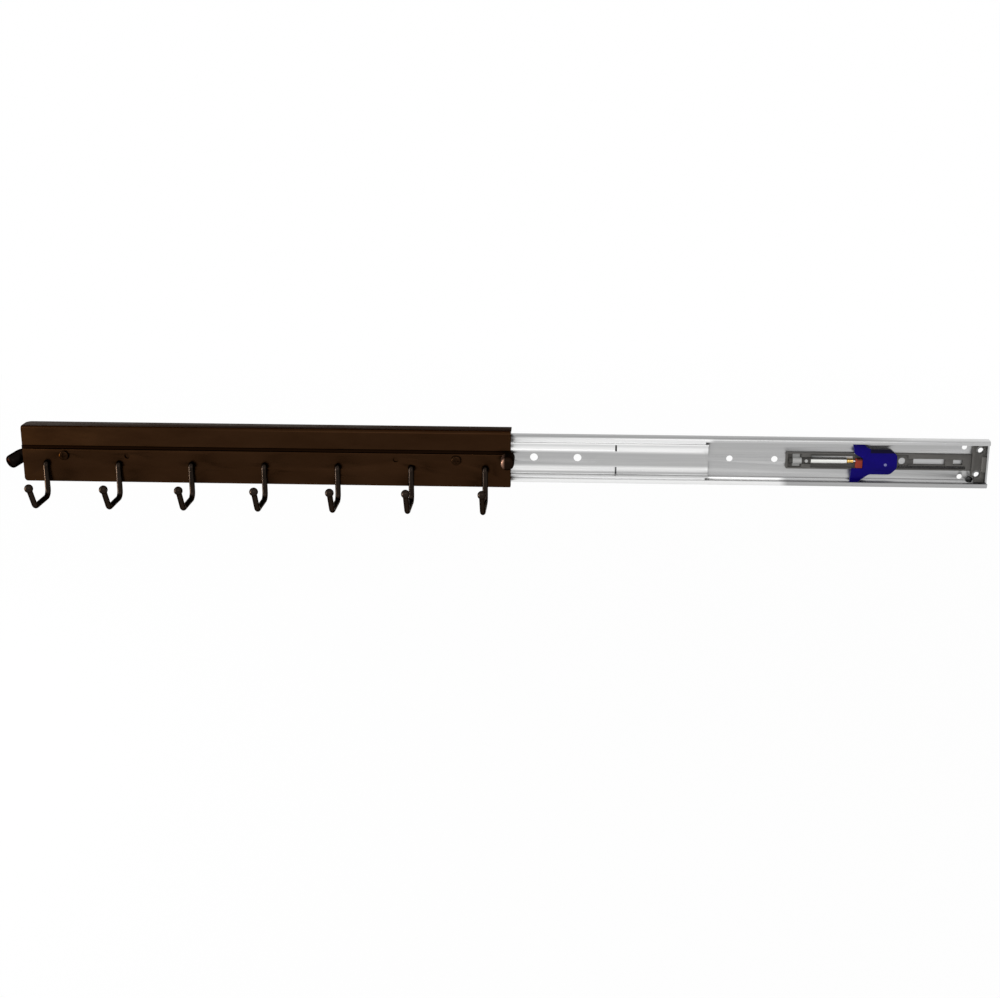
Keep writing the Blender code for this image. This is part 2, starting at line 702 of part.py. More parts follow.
def rear_bumper():
    """Round slotted bumper pushed over the rear edge of the rail."""
    length = BUMPER_PROUD + RAIL_WALL + SEAT_GAP + BUMPER_BACK
    radius = BUMPER / 2
    turns = [step * math.pi / 2 / ARC_STEPS for step in range(ARC_STEPS + 1)]
    flat = radius - BUMPER_EDGE
    shoulder = length - BUMPER_EDGE
    rim = [(flat + BUMPER_EDGE * math.sin(turn), shoulder + BUMPER_EDGE * math.cos(turn)) for turn in turns]
    profile = [(0, length), *rim, (radius, 0), (0, 0)]
    x = rail_x[1] - BUMPER_INSET
    place = (x, -(rail_back - SEAT_GAP - BUMPER_BACK), BUMPER_RISE)
    mesh = turned("rear_bumper", profile)
    lean = (TOWARDS_USER[0] + BUMPER_TILT, 0, 0)
    bumper = part("rear_bumper", mesh, rail_carriage, place, "black_rubber", lean)
    spin(bumper, 2 * ROUND_STEPS)
    slot = boxes("bumper_slot", [(
        (x - BUMPER, rail_back - SEAT_GAP, BUMPER_RISE - BUMPER),
        (rail_x[1] + SEAT_GAP, rail_front + SEAT_GAP, BUMPER_RISE + BUMPER),
    )])
    boolean(bumper, "DIFFERENCE", "bumper_slot", slot)


def damper_tray():
    """Moulded tray for the damper and spring, with a slot for the trigger's keel and open windows."""
    half = TRAY_HEIGHT / 2
    block = boxes("damper_tray", [((0, tray_back, -half), (tray_length, tray_top, half))])
    tray = part("damper_tray", block, outer_seat, (tray_x, 0, 0), "grey_plastic")
    cheek = DAMPER / 2 + SEAT_GAP
    saddle_end = SADDLE_START + SADDLE_LENGTH
    hollow = [
        (TRAY_END, -basin), (SADDLE_START, -basin), (SADDLE_START, -cheek), (saddle_end, -cheek),
        (saddle_end, -basin), (groove_end, -basin), (groove_end, -slot_half - SLOT_WALL),
        (block_start, -slot_half - SLOT_WALL), (block_start, -slot_half), (slot_end, -slot_half),
        (slot_end, slot_half), (block_start, slot_half), (block_start, basin), (saddle_end, basin),
        (saddle_end, cheek), (SADDLE_START, cheek), (SADDLE_START, basin), (TRAY_END, basin),
    ]
    corners = [(x, height, 0) for x, height in hollow]
    mesh = extruded("tray_hollow", corners, THROUGH, PLAN)
    boolean(tray, "DIFFERENCE", "tray_hollow", mesh, (tray_x, -(tray_floor + THROUGH / 2), 0))
    front_window = FRONT_WINDOW_HEIGHT / 2
    window = WINDOW_HEIGHT / 2
    slot_window = block_start + SLOT_MARGIN
    openings = [
        ((slot_window, 0, -slot_half + SEAT_GAP), (slot_end - SEAT_GAP, THROUGH, slot_half - SEAT_GAP)),
        ((window_start, 0, -window), (window_start + WINDOW_LENGTH, THROUGH, window)),
    ]
    boolean(tray, "DIFFERENCE", "tray_windows", boxes("tray_windows", openings), (tray_x, 0, 0))
    well_start = SADDLE_START - DAMPER_SEAT
    well_end = gland_start + GLAND_LENGTH
    side = [
        (damper_start, front_window), (well_start, front_window),
        (well_start, DAMPER / 2), (saddle_end + DAMPER_SEAT, DAMPER / 2),
        (saddle_end + DAMPER_SEAT, WELL_HEIGHT / 2), (well_end, WELL_HEIGHT / 2),
    ]
    outline = [(x, height, 0) for x, height in side]
    outline += [(x, -height, 0) for x, height in reversed(side)]
    boolean(tray, "DIFFERENCE", "damper_well", extruded("damper_well", outline, THROUGH, PLAN), (tray_x, 0, 0))
    eye = (trigger_end + block_start) / 2
    boolean(tray, "DIFFERENCE", "tray_eye", rods("tray_eye", [(eye, 0, ROUND_WINDOW)], THROUGH), (tray_x, 0, 0))


def damper_parts():
    """Damper: a cup of bright steel, a brass gland, and a rod whose piston runs inside the cup."""
    bore = DAMPER_BORE / 2
    cup = [
        (0, DAMPER_END), (bore, DAMPER_END), (bore, DAMPER_LENGTH),
        (DAMPER / 2, DAMPER_LENGTH), (DAMPER / 2, 0), (0, 0),
    ]
    place = (tray_x + damper_start, -damper_axis, 0)
    cylinder = turned("damper_cylinder", cup)
    spin(part("damper_cylinder", cylinder, outer_seat, place, "bright_steel", TOWARDS_REAR))
    eye = ROD / 2 + FIT_GAP
    ring = [(eye, 0), (eye, GLAND_LENGTH), (GLAND / 2, GLAND_LENGTH), (GLAND / 2, 0)]
    place = (tray_x + gland_start, -damper_axis, 0)
    gland = turned("damper_gland", ring, closed=True)
    spin(part("damper_gland", gland, outer_seat, place, "brass", TOWARDS_REAR))
    piston = bore - SEAT_GAP
    start = damper_start + DAMPER_END + PISTON_START
    length = coupling_end - ROD - start
    stem = [(0, length), (ROD / 2, length), (ROD / 2, PISTON_LENGTH), (piston, PISTON_LENGTH), (piston, 0), (0, 0)]
    place = (tray_x + start, -damper_axis, 0)
    spin(part("damper_rod", turned("damper_rod", stem), trigger_carriage, place, "bright_steel", TOWARDS_REAR))


def rod_coupling():
    """Block on the end of the damper rod that sits in the trigger's notch."""
    low = (0, tray_floor + RUN_GAP, -COUPLING_BOTTOM)
    high = (COUPLING_LENGTH, mechanism_top - SEAT_GAP, COUPLING_TOP)
    block = boxes("rod_coupling", [(low, high)])
    coupling = part("rod_coupling", block, trigger_carriage, (tray_x + coupling_start, 0, 0), "red_plastic")
    depth = COUPLING_LENGTH - ROD + SEAT_GAP
    radius = ROD / 2 + SEAT_GAP
    bm = bmesh.new()
    bmesh.ops.create_cone(
        bm, cap_ends=True, segments=ROUND_STEPS, radius1=radius, radius2=radius, depth=2 * depth,
        matrix=Matrix.Rotation(math.pi / 2, 4, "Y"),
    )
    place = (tray_x + coupling_start, -damper_axis, 0)
    boolean(coupling, "DIFFERENCE", "rod_socket", mesh_of(bm, "rod_socket"), place)


def close_trigger():
    """Trigger that rides over the tray, winged at the front, with a keel in the tray's slot."""
    wing = flange_inside - WING_GAP
    half = TRIGGER_HEIGHT / 2
    notch_end = coupling_end + FIT_GAP - trigger_start
    notch_bottom = -COUPLING_BOTTOM - FIT_GAP
    taper_end = WING_LENGTH + WING_TAPER
    side = [
        (0, wing), (WING_LENGTH, wing), (taper_end, half),
        (TRIGGER_LENGTH - TRIGGER_NOSE, half), (TRIGGER_LENGTH, half - TRIGGER_NOSE),
    ]
    outline = [(notch_end, COUPLING_TOP + FIT_GAP), (0, TRIGGER_MOUTH), *side]
    outline += [(x, -height) for x, height in reversed(side)]
    outline += [(0, notch_bottom), (notch_end, notch_bottom)]
    foot = OUTER_SHEET + RUN_GAP
    corners = [(x, height, 0) for x, height in outline]
    mesh = extruded("close_trigger", corners, mechanism_top - foot, PLAN)
    place = (tray_x + trigger_start, -(mechanism_top + foot) / 2, 0)
    trigger = part("close_trigger", mesh, trigger_carriage, place, "blue_plastic")
    channel = TRAY_HEIGHT / 2 + RUN_GAP
    bridge = boxes("trigger_channel", [((-THROUGH, 0, -channel), (TRIGGER_LENGTH + THROUGH, cap_back, channel))])
    at_trigger = (tray_x + trigger_start, 0, 0)
    boolean(trigger, "DIFFERENCE", "trigger_channel", bridge, at_trigger)
    sunk = TRIGGER_CAP / 2
    keel_bottom = tray_floor + RUN_GAP
    keel = boxes("trigger_keel", [(
        (keel_start - trigger_start, keel_bottom, -KEEL / 2), (keel_end - trigger_start, cap_back + sunk, KEEL / 2),
    )])
    boolean(trigger, "UNION", "trigger_keel", keel, at_trigger)
    peg = rods("spring_peg", [(peg_place - trigger_start, spring_height, PEG)], cap_back + sunk - keel_bottom)
    peg_depth = (cap_back + sunk + keel_bottom) / 2
    boolean(trigger, "UNION", "spring_peg", peg, (tray_x + trigger_start, -peg_depth, 0))


def return_spring():
    """Tension spring from the trigger's peg to the end of its groove; prints its least gap to itself."""
    start = peg_place + PEG / 2 + FIT_GAP
    end = groove_end - FIT_GAP
    leg = SPRING_WIRE
    radius = (SPRING - SPRING_WIRE) / 2
    pitch = (end - start - 2 * leg) / SPRING_CURLS
    path = [Vector((start, -spring_depth, spring_height + radius))]
    for index in range(SPRING_CURLS * CURL_POINTS + 1):
        turn = 2 * math.pi * index / CURL_POINTS
        ring = Vector((0, -radius * math.sin(turn), radius * math.cos(turn)))
        along = Vector((start + leg + pitch * index / CURL_POINTS, -spring_depth, spring_height))
        path.append(along + ring)
    path.append(Vector((end, -spring_depth, spring_height + radius)))
    apart = range(CURL_POINTS // 2, 2 * CURL_POINTS)
    gap = min((path[i + k] - path[i]).length for k in apart for i in range(len(path) - k)) - SPRING_WIRE
    print(f"return_spring least gap to itself: {gap / MM:.2f} mm")
    mesh = wire("return_spring", path, SPRING_WIRE, resolution=1)
    part("return_spring", mesh, outer_seat, (tray_x, 0, 0), "spring_steel")


def rear_stop():
    """Moulded block at the rear of the outer member, with the buffer that the members close against."""
    half = flange_inside - STOP_WALL_GAP
    x = STOP_LENGTH / 2
    notch = -half + STOP_NOTCH_RISE
    corners = [
        (-x, notch, 0), (-x + STOP_NOTCH, notch, 0), (-x + STOP_NOTCH, -half, 0),
        (x, -half, 0), (x, half, 0), (-x, half, STOP_CORNER),
    ]
    mesh = extruded("rear_stop", corners, mechanism_top - tray_back, PLAN)
    centre = (stop_x[0] + stop_x[1]) / 2
    stop = part("rear_stop", mesh, outer_seat, (centre, -(mechanism_top + tray_back) / 2, 0), "grey_plastic")
    buffer_half = STOP_BUFFER / 2
    inset = SEAT_GAP
    buffer = boxes("stop_buffer", [(
        (stop_x[1] - STOP_BUFFER_LENGTH, tray_back + inset, -buffer_half),
        (stop_x[1] - inset, tray_back + STOP_BUFFER_DEPTH, buffer_half),
    )])
    boolean(stop, "UNION", "stop_buffer", buffer)
    holes = [(outer_x[1] - place, height, STOP_HOLE) for place, height in REAR_HOLES[2:]]
    boolean(stop, "DIFFERENCE", "stop_holes", rods("stop_holes", holes, 2 * THROUGH))


def tray_rivet():
    """Rivet in the outer member's web, beside the rear stop."""
    head = RIVET_HEAD / 2
    shank = RIVET_SHANK / 2
    seat = OUTER_SHEET + SEAT_GAP
    profile = [
        (0, seat + RIVET_HEAD_HEIGHT), (head / 2, seat + RIVET_HEAD_HEIGHT), (head, seat + RIVET_HEAD_HEIGHT / 2),
        (head, seat), (shank, seat), (shank, SEAT_GAP), (0, SEAT_GAP),
    ]
    place = (rivet_x, 0, rivet_height)
    spin(part("tray_rivet", turned("tray_rivet", profile), outer_seat, place, "grey_plastic", TOWARDS_USER))


outer_member()
intermediate_member()
inner_member()
outer_cages()
inner_cage()
belt_rail()
belt_hooks()
rail_screws()
finger_pull()
rear_bumper()
damper_tray()
damper_parts()
rod_coupling()
close_trigger()
return_spring()
rear_stop()
tray_rivet()

for piece in rack.objects:
    if piece.type == "MESH":
        piece.data.shade_smooth()
        piece.data.set_sharp_from_angle(angle=math.radians(35))
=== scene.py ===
"""Looks of the pull-out belt rack: finer pieces, finishes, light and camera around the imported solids.

Metres, +Z up, in the frame of the CAD: the slide lies along X and closes towards +X, and +Y points into
the cabinet wall. A depth is measured from the wall towards the user (along -Y), and a height from the
slide's centre line.
"""

import math

import bmesh
import bpy
from mathutils import Matrix, Vector


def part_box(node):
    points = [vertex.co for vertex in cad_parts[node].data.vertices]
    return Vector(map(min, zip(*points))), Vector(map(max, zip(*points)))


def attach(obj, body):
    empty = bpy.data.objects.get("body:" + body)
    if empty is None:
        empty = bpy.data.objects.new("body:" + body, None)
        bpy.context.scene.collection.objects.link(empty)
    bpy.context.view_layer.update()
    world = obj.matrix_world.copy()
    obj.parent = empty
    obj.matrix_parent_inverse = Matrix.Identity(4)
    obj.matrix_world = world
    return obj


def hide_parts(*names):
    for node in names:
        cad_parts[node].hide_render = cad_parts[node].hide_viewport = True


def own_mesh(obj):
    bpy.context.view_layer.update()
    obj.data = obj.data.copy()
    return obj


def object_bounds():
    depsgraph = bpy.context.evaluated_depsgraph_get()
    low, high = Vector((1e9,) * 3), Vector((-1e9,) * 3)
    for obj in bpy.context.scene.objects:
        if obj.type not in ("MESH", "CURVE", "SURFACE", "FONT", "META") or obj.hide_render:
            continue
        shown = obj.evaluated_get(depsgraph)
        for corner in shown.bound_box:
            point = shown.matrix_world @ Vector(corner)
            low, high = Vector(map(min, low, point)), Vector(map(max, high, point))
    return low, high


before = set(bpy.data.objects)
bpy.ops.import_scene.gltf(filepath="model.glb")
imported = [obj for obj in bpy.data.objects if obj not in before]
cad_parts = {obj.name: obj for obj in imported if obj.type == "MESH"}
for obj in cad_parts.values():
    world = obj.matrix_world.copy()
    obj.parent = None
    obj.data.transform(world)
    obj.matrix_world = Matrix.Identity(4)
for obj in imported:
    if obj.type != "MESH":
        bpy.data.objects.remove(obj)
cad_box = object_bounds()
scene = bpy.context.scene

MM = 0.001

# Slide strips
OUTER_SHEET = 1.2 * MM
OUTER_BEND = 1.8 * MM
RACE_BEND = 3.8 * MM
UPPER_LIP = 3.3 * MM
LOWER_LIP = 3.6 * MM
MIDDLE_SHEET = 0.9 * MM
MIDDLE_BEND = 1.2 * MM
BEAD_DEPTH = 0.4 * MM
BEAD_WIDTH = 3.4 * MM
BEAD_SLOPE = 0.8 * MM
BEAD_MARGIN = 1.4 * MM
BEAD_END = 3.0 * MM
BEAD_FADE = 2.2 * MM
INNER_SHEET = 1.0 * MM
INNER_BEND = 1.2 * MM
MOUNT_HOLE = 4.6 * MM
MOUNT_HOLES = (165.8 * MM, 198 * MM)
MOUNT_SLOTS = (25 * MM, 56.4 * MM)
SLOT_WIDTH = 7.2 * MM
SLOT_HEIGHT = 9.6 * MM
SLOT_ROUND = 3.24 * MM
SLOT_DROP = 1.0 * MM
ACCESS_HOLE = 5.6 * MM
ACCESS_RISE = 0.7 * MM
REAR_HOLE = 3.8 * MM
REAR_HOLES = ((15.7 * MM, 10.7 * MM), (17.7 * MM, -11.1 * MM), (4.2 * MM, 8.5 * MM), (5.8 * MM, -9.4 * MM))
RIVET_HOLE = 2.4 * MM
NOTCH_WIDTH = 1.2 * MM
NOTCH_FROM_REAR = 66 * MM
NOTCH_HEIGHT = 5.2 * MM
NOTCH_SHIFT = 0.9 * MM
DIMPLE = 5 * MM
DIMPLE_SINK = 0.25 * MM
DIMPLE_FROM_REAR = 82 * MM
END_TAB_DEPTH = 9 * MM
END_TAB_GAP = 0.8 * MM
END_TAB_CORNER = 2.0 * MM
END_TAB_INSET = 0.12 * MM
STRIP_EDGE = 0.14 * MM

# Balls and cages
BALL = 3.5 * MM
BALL_PITCH = 19 * MM
BALLS_IN_ROW = 7
CAGE_SHEET = 0.5 * MM
CAGE_END = 16 * MM
CAGE_EDGE = 0.3 * MM
CAGE_BEND = 0.6 * MM
LEAF_GAP = 0.1 * MM
LOWER_FOLD = 0.9 * MM
POCKET_RIM = 0.22 * MM

# Rail
HOOD_WALL = 2.0 * MM
HOOD_ROUND = 2.4 * MM
HOOD_CORNER = 5.2 * MM
RAIL_WALL = 3.4 * MM
RAIL_EDGE = 0.8 * MM
FRONT_CORNER = 2.8 * MM
REAR_CORNER = 1.0 * MM
GROOVE_RISE = 25.6 * MM
GROOVE_HEIGHT = 3.0 * MM
GROOVE_DEPTH = 1.3 * MM
GROOVE_SLOPE = 0.6 * MM
SCREW_HOLE = 4.0 * MM
SPARE_FROM_FRONT = 77 * MM
SPARE_FROM_REAR = 82.8 * MM
SPARE_DEPTH = 2.6 * MM

# Screws, hooks, pull and bumper
SCREW_HEAD_HEIGHT = 1.9 * MM
SCREW_SHANK = 3.4 * MM
SCREW_DOME = 1.12 * MM
SCREW_FULLNESS = 0.8
CROSS_LENGTH = 3.8 * MM
CROSS_WIDTH = 0.9 * MM
CROSS_DEPTH = 1.1 * MM
HOOK_COUNT = 7
HOOK_WIRE = 4.0 * MM
HOOK_EYE_RISE = 14.05 * MM
HOOK_BEND = 5.0 * MM
HOOK_BALL = 6.2 * MM
HOOK_REACH = 31 * MM
HOOK_TIP_RISE = 16.05 * MM
PULL_ROD = 10.2 * MM
PULL_BEND = 5.6 * MM
PULL_STEM = 3.2 * MM
PULL_LENGTH = 11.4 * MM
PULL_TURN = math.radians(48)
PULL_DROP = 2.6 * MM
PULL_DIP = 4.2 * MM
PULL_PLATE = 2.0 * MM
PULL_ROUND = 3.0 * MM
BUMPER = 10 * MM
BUMPER_INSET = 2.2 * MM
BUMPER_RISE = 1.6 * MM
BUMPER_TILT = math.radians(9)
BUMPER_PROUD = 9.5 * MM
BUMPER_EDGE = 3.0 * MM
BUMPER_BACK = 1.3 * MM
# Width and place of the bumper's painted highlight streak
HIGHLIGHT_STREAK_WIDTH = 1.7 * MM
HIGHLIGHT_STREAK_PLACE = 3.3 * MM

# Soft close
TRAY_FLOOR = 0.6 * MM
TRAY_WALL = 1.0 * MM
TRAY_END = 1.5 * MM
TRAY_EDGE = 0.18 * MM
SADDLE_START = 11.2 * MM
SADDLE_LENGTH = 6.6 * MM
DAMPER_SEAT = 0.8 * MM
DAMPER = 4.4 * MM
DAMPER_BORE = 2.8 * MM
DAMPER_END = 1.2 * MM
DAMPER_ROUND = 0.5 * MM
DAMPER_EDGE = 0.15 * MM
COLLAR_DEPTH = 0.3 * MM
COLLAR_PIN = 2.4 * MM
FOOT_CORNER = 0.6 * MM
GLAND_GROOVE = (0.35, 0.4, 0.55, 0.6)
ROD = 1.3 * MM
PISTON_LENGTH = 3 * MM
COUPLING_CORNER = 0.6 * MM
TRIGGER_CAP = 1.3 * MM
TRIGGER_NOSE = 4.5 * MM
TRIGGER_HEIGHT = 18.4 * MM
TRIGGER_CORNER = 0.8 * MM
TRIGGER_EDGE = 0.45 * MM
TRIGGER_MOUTH = 5.8 * MM
TRIGGER_TRAVEL = 32 * MM
WING_LENGTH = 8 * MM
WING_TAPER = 6 * MM
MOUTH_INSET = 3.4 * MM
EAR_INSET = 1.8 * MM
LOWER_EAR_INSET = 0.8 * MM
LOWER_EAR_LEAN = 0.6 * MM
EAR_DROP = 1.9 * MM
EAR_BACK = 1.7 * MM
KEEL = 4.0 * MM
KEEL_INSET = 1.5 * MM
PEG = 1.0 * MM
PEG_INSET = 6.5 * MM
PEG_END = 2.2 * MM
PEG_END_PLACE = 25.4 * MM
PEG_END_HEIGHT = -2.1 * MM
SLOT_WALL = 0.5 * MM
SLOT_MARGIN = 4 * MM
WINDOW_LENGTH = 7 * MM
WINDOW_HEIGHT = 3.6 * MM
WINDOW_GAP = 5.4 * MM
FRONT_WINDOW_HEIGHT = 9.4 * MM
FRONT_WINDOW_INSET = 2.6 * MM
ROUND_WINDOW = 5 * MM
WELL_RISE = 3.1 * MM
WELL_DROP = 2.5 * MM
ANCHOR_WALL = 1.9 * MM
SPRING_WIRE = 0.36 * MM
SPRING_CURLS = 28
SPRING_LOOP = 0.5 * MM
STOP_CORNER = 3 * MM
STOP_BUFFER = 11 * MM
STOP_BUFFER_LENGTH = 2.6 * MM
STOP_NOTCH = 2.5 * MM
STOP_NOTCH_RISE = 3.6 * MM
STOP_HOLE = 5.6 * MM
STOP_HOLE_SHIFT = (-1.2 * MM, 1.3 * MM)
STOP_EDGE = 0.35 * MM
RIVET_SHANK = 2.0 * MM

# Clearances
SNUG_GAP = 0.06 * MM
SEAT_GAP = 0.2 * MM
RUN_GAP = 0.3 * MM
FIT_GAP = 0.3 * MM

# Smoothness
BEND_STEPS = 8
ROUND_STEPS = 48
WIRE_STEPS = 28
CURL_STEPS = 20
CURL_SIDES = 10
RIM_STEPS = 32
RIM_SIDES = 12
BALL_MESH = (32, 20)
PUNCH_MESH = (96, 48)
SHARP = math.radians(28)
FLAT = math.radians(0.5)
THROUGH = 12 * MM
WELD = 1e-7

# View and light
CAMERA_PLACE = (-0.11774, -1.09007, 0.28788)
CAMERA_DOWN = 0.28612
CAMERA_LEFT = 0.05147
CAMERA_LENS = 55.87
CAMERA_SENSOR = 36
FLOOR_DROP = 0.22
FLOOR_SIZE = 12
FLOOR_NEAR = 0.5
FLOOR_FAR = 1.8
FLOOR_COLOUR = (0.86, 0.86, 0.86, 1)
FLOOR_ROUGHNESS = 0.9
FLOOR_WHITE = 0.97
AMBIENT = 0.45
WHITE = (1, 1, 1, 1)

# Lamps: name, place, point aimed at, width, height and power
LAMPS = (
    ("left_strip", (-1.7, -0.3, 0.3), (-0.3, 0, 0), 0.5, 1.2, 15),
    ("low_strip", (-1.1, -0.075, -0.12), (-0.35, -0.03, -0.03), 0.1, 0.28, 9),
    ("front_fill", (0.3, -2.2, 1.3), (-0.1, 0, 0), 2.2, 1.2, 12),
)

# Turns of a shape made along Z: to look out of the wall, or to run along the slide
TO_USER = Matrix.Rotation(math.pi / 2, 4, "X")
TO_REAR = Matrix.Rotation(math.pi / 2, 4, "Y")


class Reach:
    """Sides of a CAD node's box: along X, in depth from the wall, and in height."""

    def __init__(self, node):
        low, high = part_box(node)
        self.left, self.right = low.x, high.x
        self.back, self.front = -high.y, -low.y
        self.bottom, self.top = low.z, high.z
        self.across = (low.x + high.x) / 2
        self.middle = (low.z + high.z) / 2


outer = Reach("outer_member")
middle = Reach("intermediate_member")
inner = Reach("inner_member")
rail = Reach("belt_rail")
tray = Reach("damper_tray")
cylinder = Reach("damper_cylinder")
gland = Reach("damper_gland")
coupling = Reach("rod_coupling")
trigger = Reach("close_trigger")
spring = Reach("return_spring")
stop = Reach("rear_stop")
rivet = Reach("tray_rivet")
pull = Reach("finger_pull")
damper_axis = (cylinder.back + cylinder.front) / 2


# Shaping


def loose(bm):
    """Scratch object of a mesh, for a modifier to work on."""
    mesh = bpy.data.meshes.new("scratch")
    bm.to_mesh(mesh)
    bm.free()
    made = bpy.data.objects.new("scratch", mesh)
    scene.collection.objects.link(made)
    return made


def worked(bm, kind, **settings):
    """The mesh after one modifier."""
    blank = loose(bm)
    step = blank.modifiers.new(kind, kind)
    for setting, value in settings.items():
        setattr(step, setting, value)
    shown = blank.evaluated_get(bpy.context.evaluated_depsgraph_get())
    out = bmesh.new()
    out.from_mesh(shown.to_mesh())
    bpy.data.objects.remove(blank)
    return out


def machined(bm, tool, operation="DIFFERENCE"):
    """The mesh cut by a tool, or joined with it."""
    guide = loose(tool)
    out = worked(bm, "BOOLEAN", operation=operation, solver="EXACT", object=guide)
    bpy.data.objects.remove(guide)
    return out


def rounded(bm, geom, radius, affect, segments=BEND_STEPS, clamp=False):
    """Round off some corners or edges."""
    bmesh.ops.bevel(
        bm, geom=geom, offset=radius, affect=affect, segments=segments, profile=0.5, material=-1,
        clamp_overlap=clamp,
    )


def bent_corners(bm, corners, radii):
    """Round off each corner that has a radius."""
    for corner, radius in zip(corners, radii):
        if radius:
            rounded(bm, [corner], radius, "VERTICES")


def softened(bm, width, segments=2):
    """Break the sharp edges with a small round."""
    bmesh.ops.remove_doubles(bm, verts=bm.verts, dist=WELD)
    bmesh.ops.dissolve_limit(bm, angle_limit=FLAT, verts=bm.verts, edges=bm.edges)
    edges = [edge for edge in bm.edges if edge.is_manifold and edge.calc_face_angle() > SHARP]
    rounded(bm, edges, width, "EDGES", segments, clamp=True)
    return bm


def only(items, kind):
    """Members of one kind among an operator's results."""
    return [item for item in items if isinstance(item, kind)]


def moved_on(bm, edges, step):
    """Extrude open edges by a step and return the new verts and edges."""
    made = bmesh.ops.extrude_edge_only(bm, edges=edges)["geom"]
    verts = only(made, bmesh.types.BMVert)
    bmesh.ops.translate(bm, verts=verts, vec=step)
    fresh = set(verts)
    ahead = [edge for edge in only(made, bmesh.types.BMEdge) if fresh.issuperset(edge.verts)]
    return verts, ahead


def section_line(section, x):
    """Open line of a (depth, height, bend) section at one place along the slide."""
    bm = bmesh.new()
    corners = [bm.verts.new((x, -depth, height)) for depth, height, bend in section]
    for pair in zip(corners, corners[1:]):
        bm.edges.new(pair)
    bent_corners(bm, corners, [bend for depth, height, bend in section])
    return bm


def both_halves(upper):
    """Section made whole from its upper half, which ends short of the centre line."""
    return upper + [(depth, -height, bend) for depth, height, bend in reversed(upper)]


def thickened(bm, sheet):
    """Sheet metal about a surface."""
    bmesh.ops.recalc_face_normals(bm, faces=bm.faces)
    return worked(bm, "SOLIDIFY", thickness=sheet, offset=0, use_even_offset=True)


def rolled(section, left, right, sheet):
    """Steel strip rolled to a section and drawn along the slide."""
    bm = section_line(section, left)
    moved_on(bm, bm.edges[:], (right - left, 0, 0))
    return thickened(bm, sheet)


def drawn(points, radii, step):
    """Flat outline with its corners rounded, drawn out by a step to a solid."""
    bm = bmesh.new()
    corners = [bm.verts.new(point) for point in points]
    bm.faces.new(corners)
    bent_corners(bm, corners, radii)
    made = bmesh.ops.extrude_face_region(bm, geom=bm.faces[:])["geom"]
    bmesh.ops.translate(bm, verts=only(made, bmesh.types.BMVert), vec=step)
    bmesh.ops.recalc_face_normals(bm, faces=bm.faces)
    return bm


def moulded(outline, back, front):
    """Plate of a closed (x, height, corner) outline between two depths."""
    points = [(x, -back, height) for x, height, corner in outline]
    return drawn(points, [corner for x, height, corner in outline], (0, back - front, 0))


def oblong(left, right, low, high, corner):
    """Outline of a rectangle with rounded corners."""
    return [(left, low, corner), (right, low, corner), (right, high, corner), (left, high, corner)]


def square_cut(points):
    """Outline with sharp corners at (x, height) points."""
    return [(x, height, 0) for x, height in points]


def block(low, high):
    """Box between two (x, depth, height) corners."""
    size = Vector(high) - Vector(low)
    centre = (Vector(high) + Vector(low)) / 2
    place = Matrix.Translation((centre.x, -centre.y, centre.z))
    bm = bmesh.new()
    bmesh.ops.create_cube(bm, size=1, matrix=place @ Matrix.Diagonal((size.x, size.y, size.z, 1)))
    return bm


def blocks(places):
    """Several boxes in one mesh."""
    bm = bmesh.new()
    for low, high in places:
        add(bm, block(low, high))
    return bm


def add(bm, other):
    """Put another mesh into this one."""
    mesh = bpy.data.meshes.new("scratch")
    other.to_mesh(mesh)
    other.free()
    bm.from_mesh(mesh)
    bpy.data.meshes.remove(mesh)


def bar(bm, diameter, length, place):
    """Round bar about the Z axis of a place."""
    bmesh.ops.create_cone(
        bm, cap_ends=True, segments=ROUND_STEPS, radius1=diameter / 2, radius2=diameter / 2, depth=length,
        matrix=place,
    )


def pins(places, back, front):
    """Round bars out of the wall at (x, height, diameter) places."""
    bm = bmesh.new()
    for x, height, diameter in places:
        place = Matrix.Translation((x, -(back + front) / 2, height)) @ TO_USER
        bar(bm, diameter, front - back, place)
    return bm


def quarter_turn(first=0):
    """Angles over a quarter turn, from its first step or a later one."""
    return [math.pi / 2 * step / BEND_STEPS for step in range(first, BEND_STEPS + 1)]


def turned(profile, place, turn):
    """Solid turned from a (radius, height) profile, whose ends meet on the axis or in one point."""
    bm = bmesh.new()
    verts = [bm.verts.new((radius, 0, height)) for radius, height in profile]
    edges = [bm.edges.new(pair) for pair in zip(verts, verts[1:])]
    bmesh.ops.spin(
        bm, geom=verts + edges, cent=(0, 0, 0), axis=(0, 0, 1), angle=2 * math.pi, steps=ROUND_STEPS,
        use_merge=True,
    )
    bmesh.ops.remove_doubles(bm, verts=bm.verts, dist=WELD)
    bmesh.ops.recalc_face_normals(bm, faces=bm.faces)
    bmesh.ops.transform(bm, matrix=Matrix.Translation(place) @ turn, verts=bm.verts)
    return bm


def ring_verts(edges):
    """Verts of a ring, each once and in the order of its edges."""
    return list(dict.fromkeys(vert for edge in edges for vert in edge.verts))


def ring_centre(edges):
    verts = ring_verts(edges)
    return sum((vert.co for vert in verts), Vector()) / len(verts)


def ring(bm, centre, direction, radius, sides=WIRE_STEPS):
    """Circle square to a direction, as the start of a wire."""
    turn = direction.to_track_quat("Z", "Y").to_matrix().to_4x4()
    verts = bmesh.ops.create_circle(
        bm, segments=sides, radius=radius, matrix=Matrix.Translation(centre) @ turn,
    )["verts"]
    members = set(verts)
    touching = dict.fromkeys(edge for vert in verts for edge in vert.link_edges)
    return [edge for edge in touching if members.issuperset(edge.verts)]


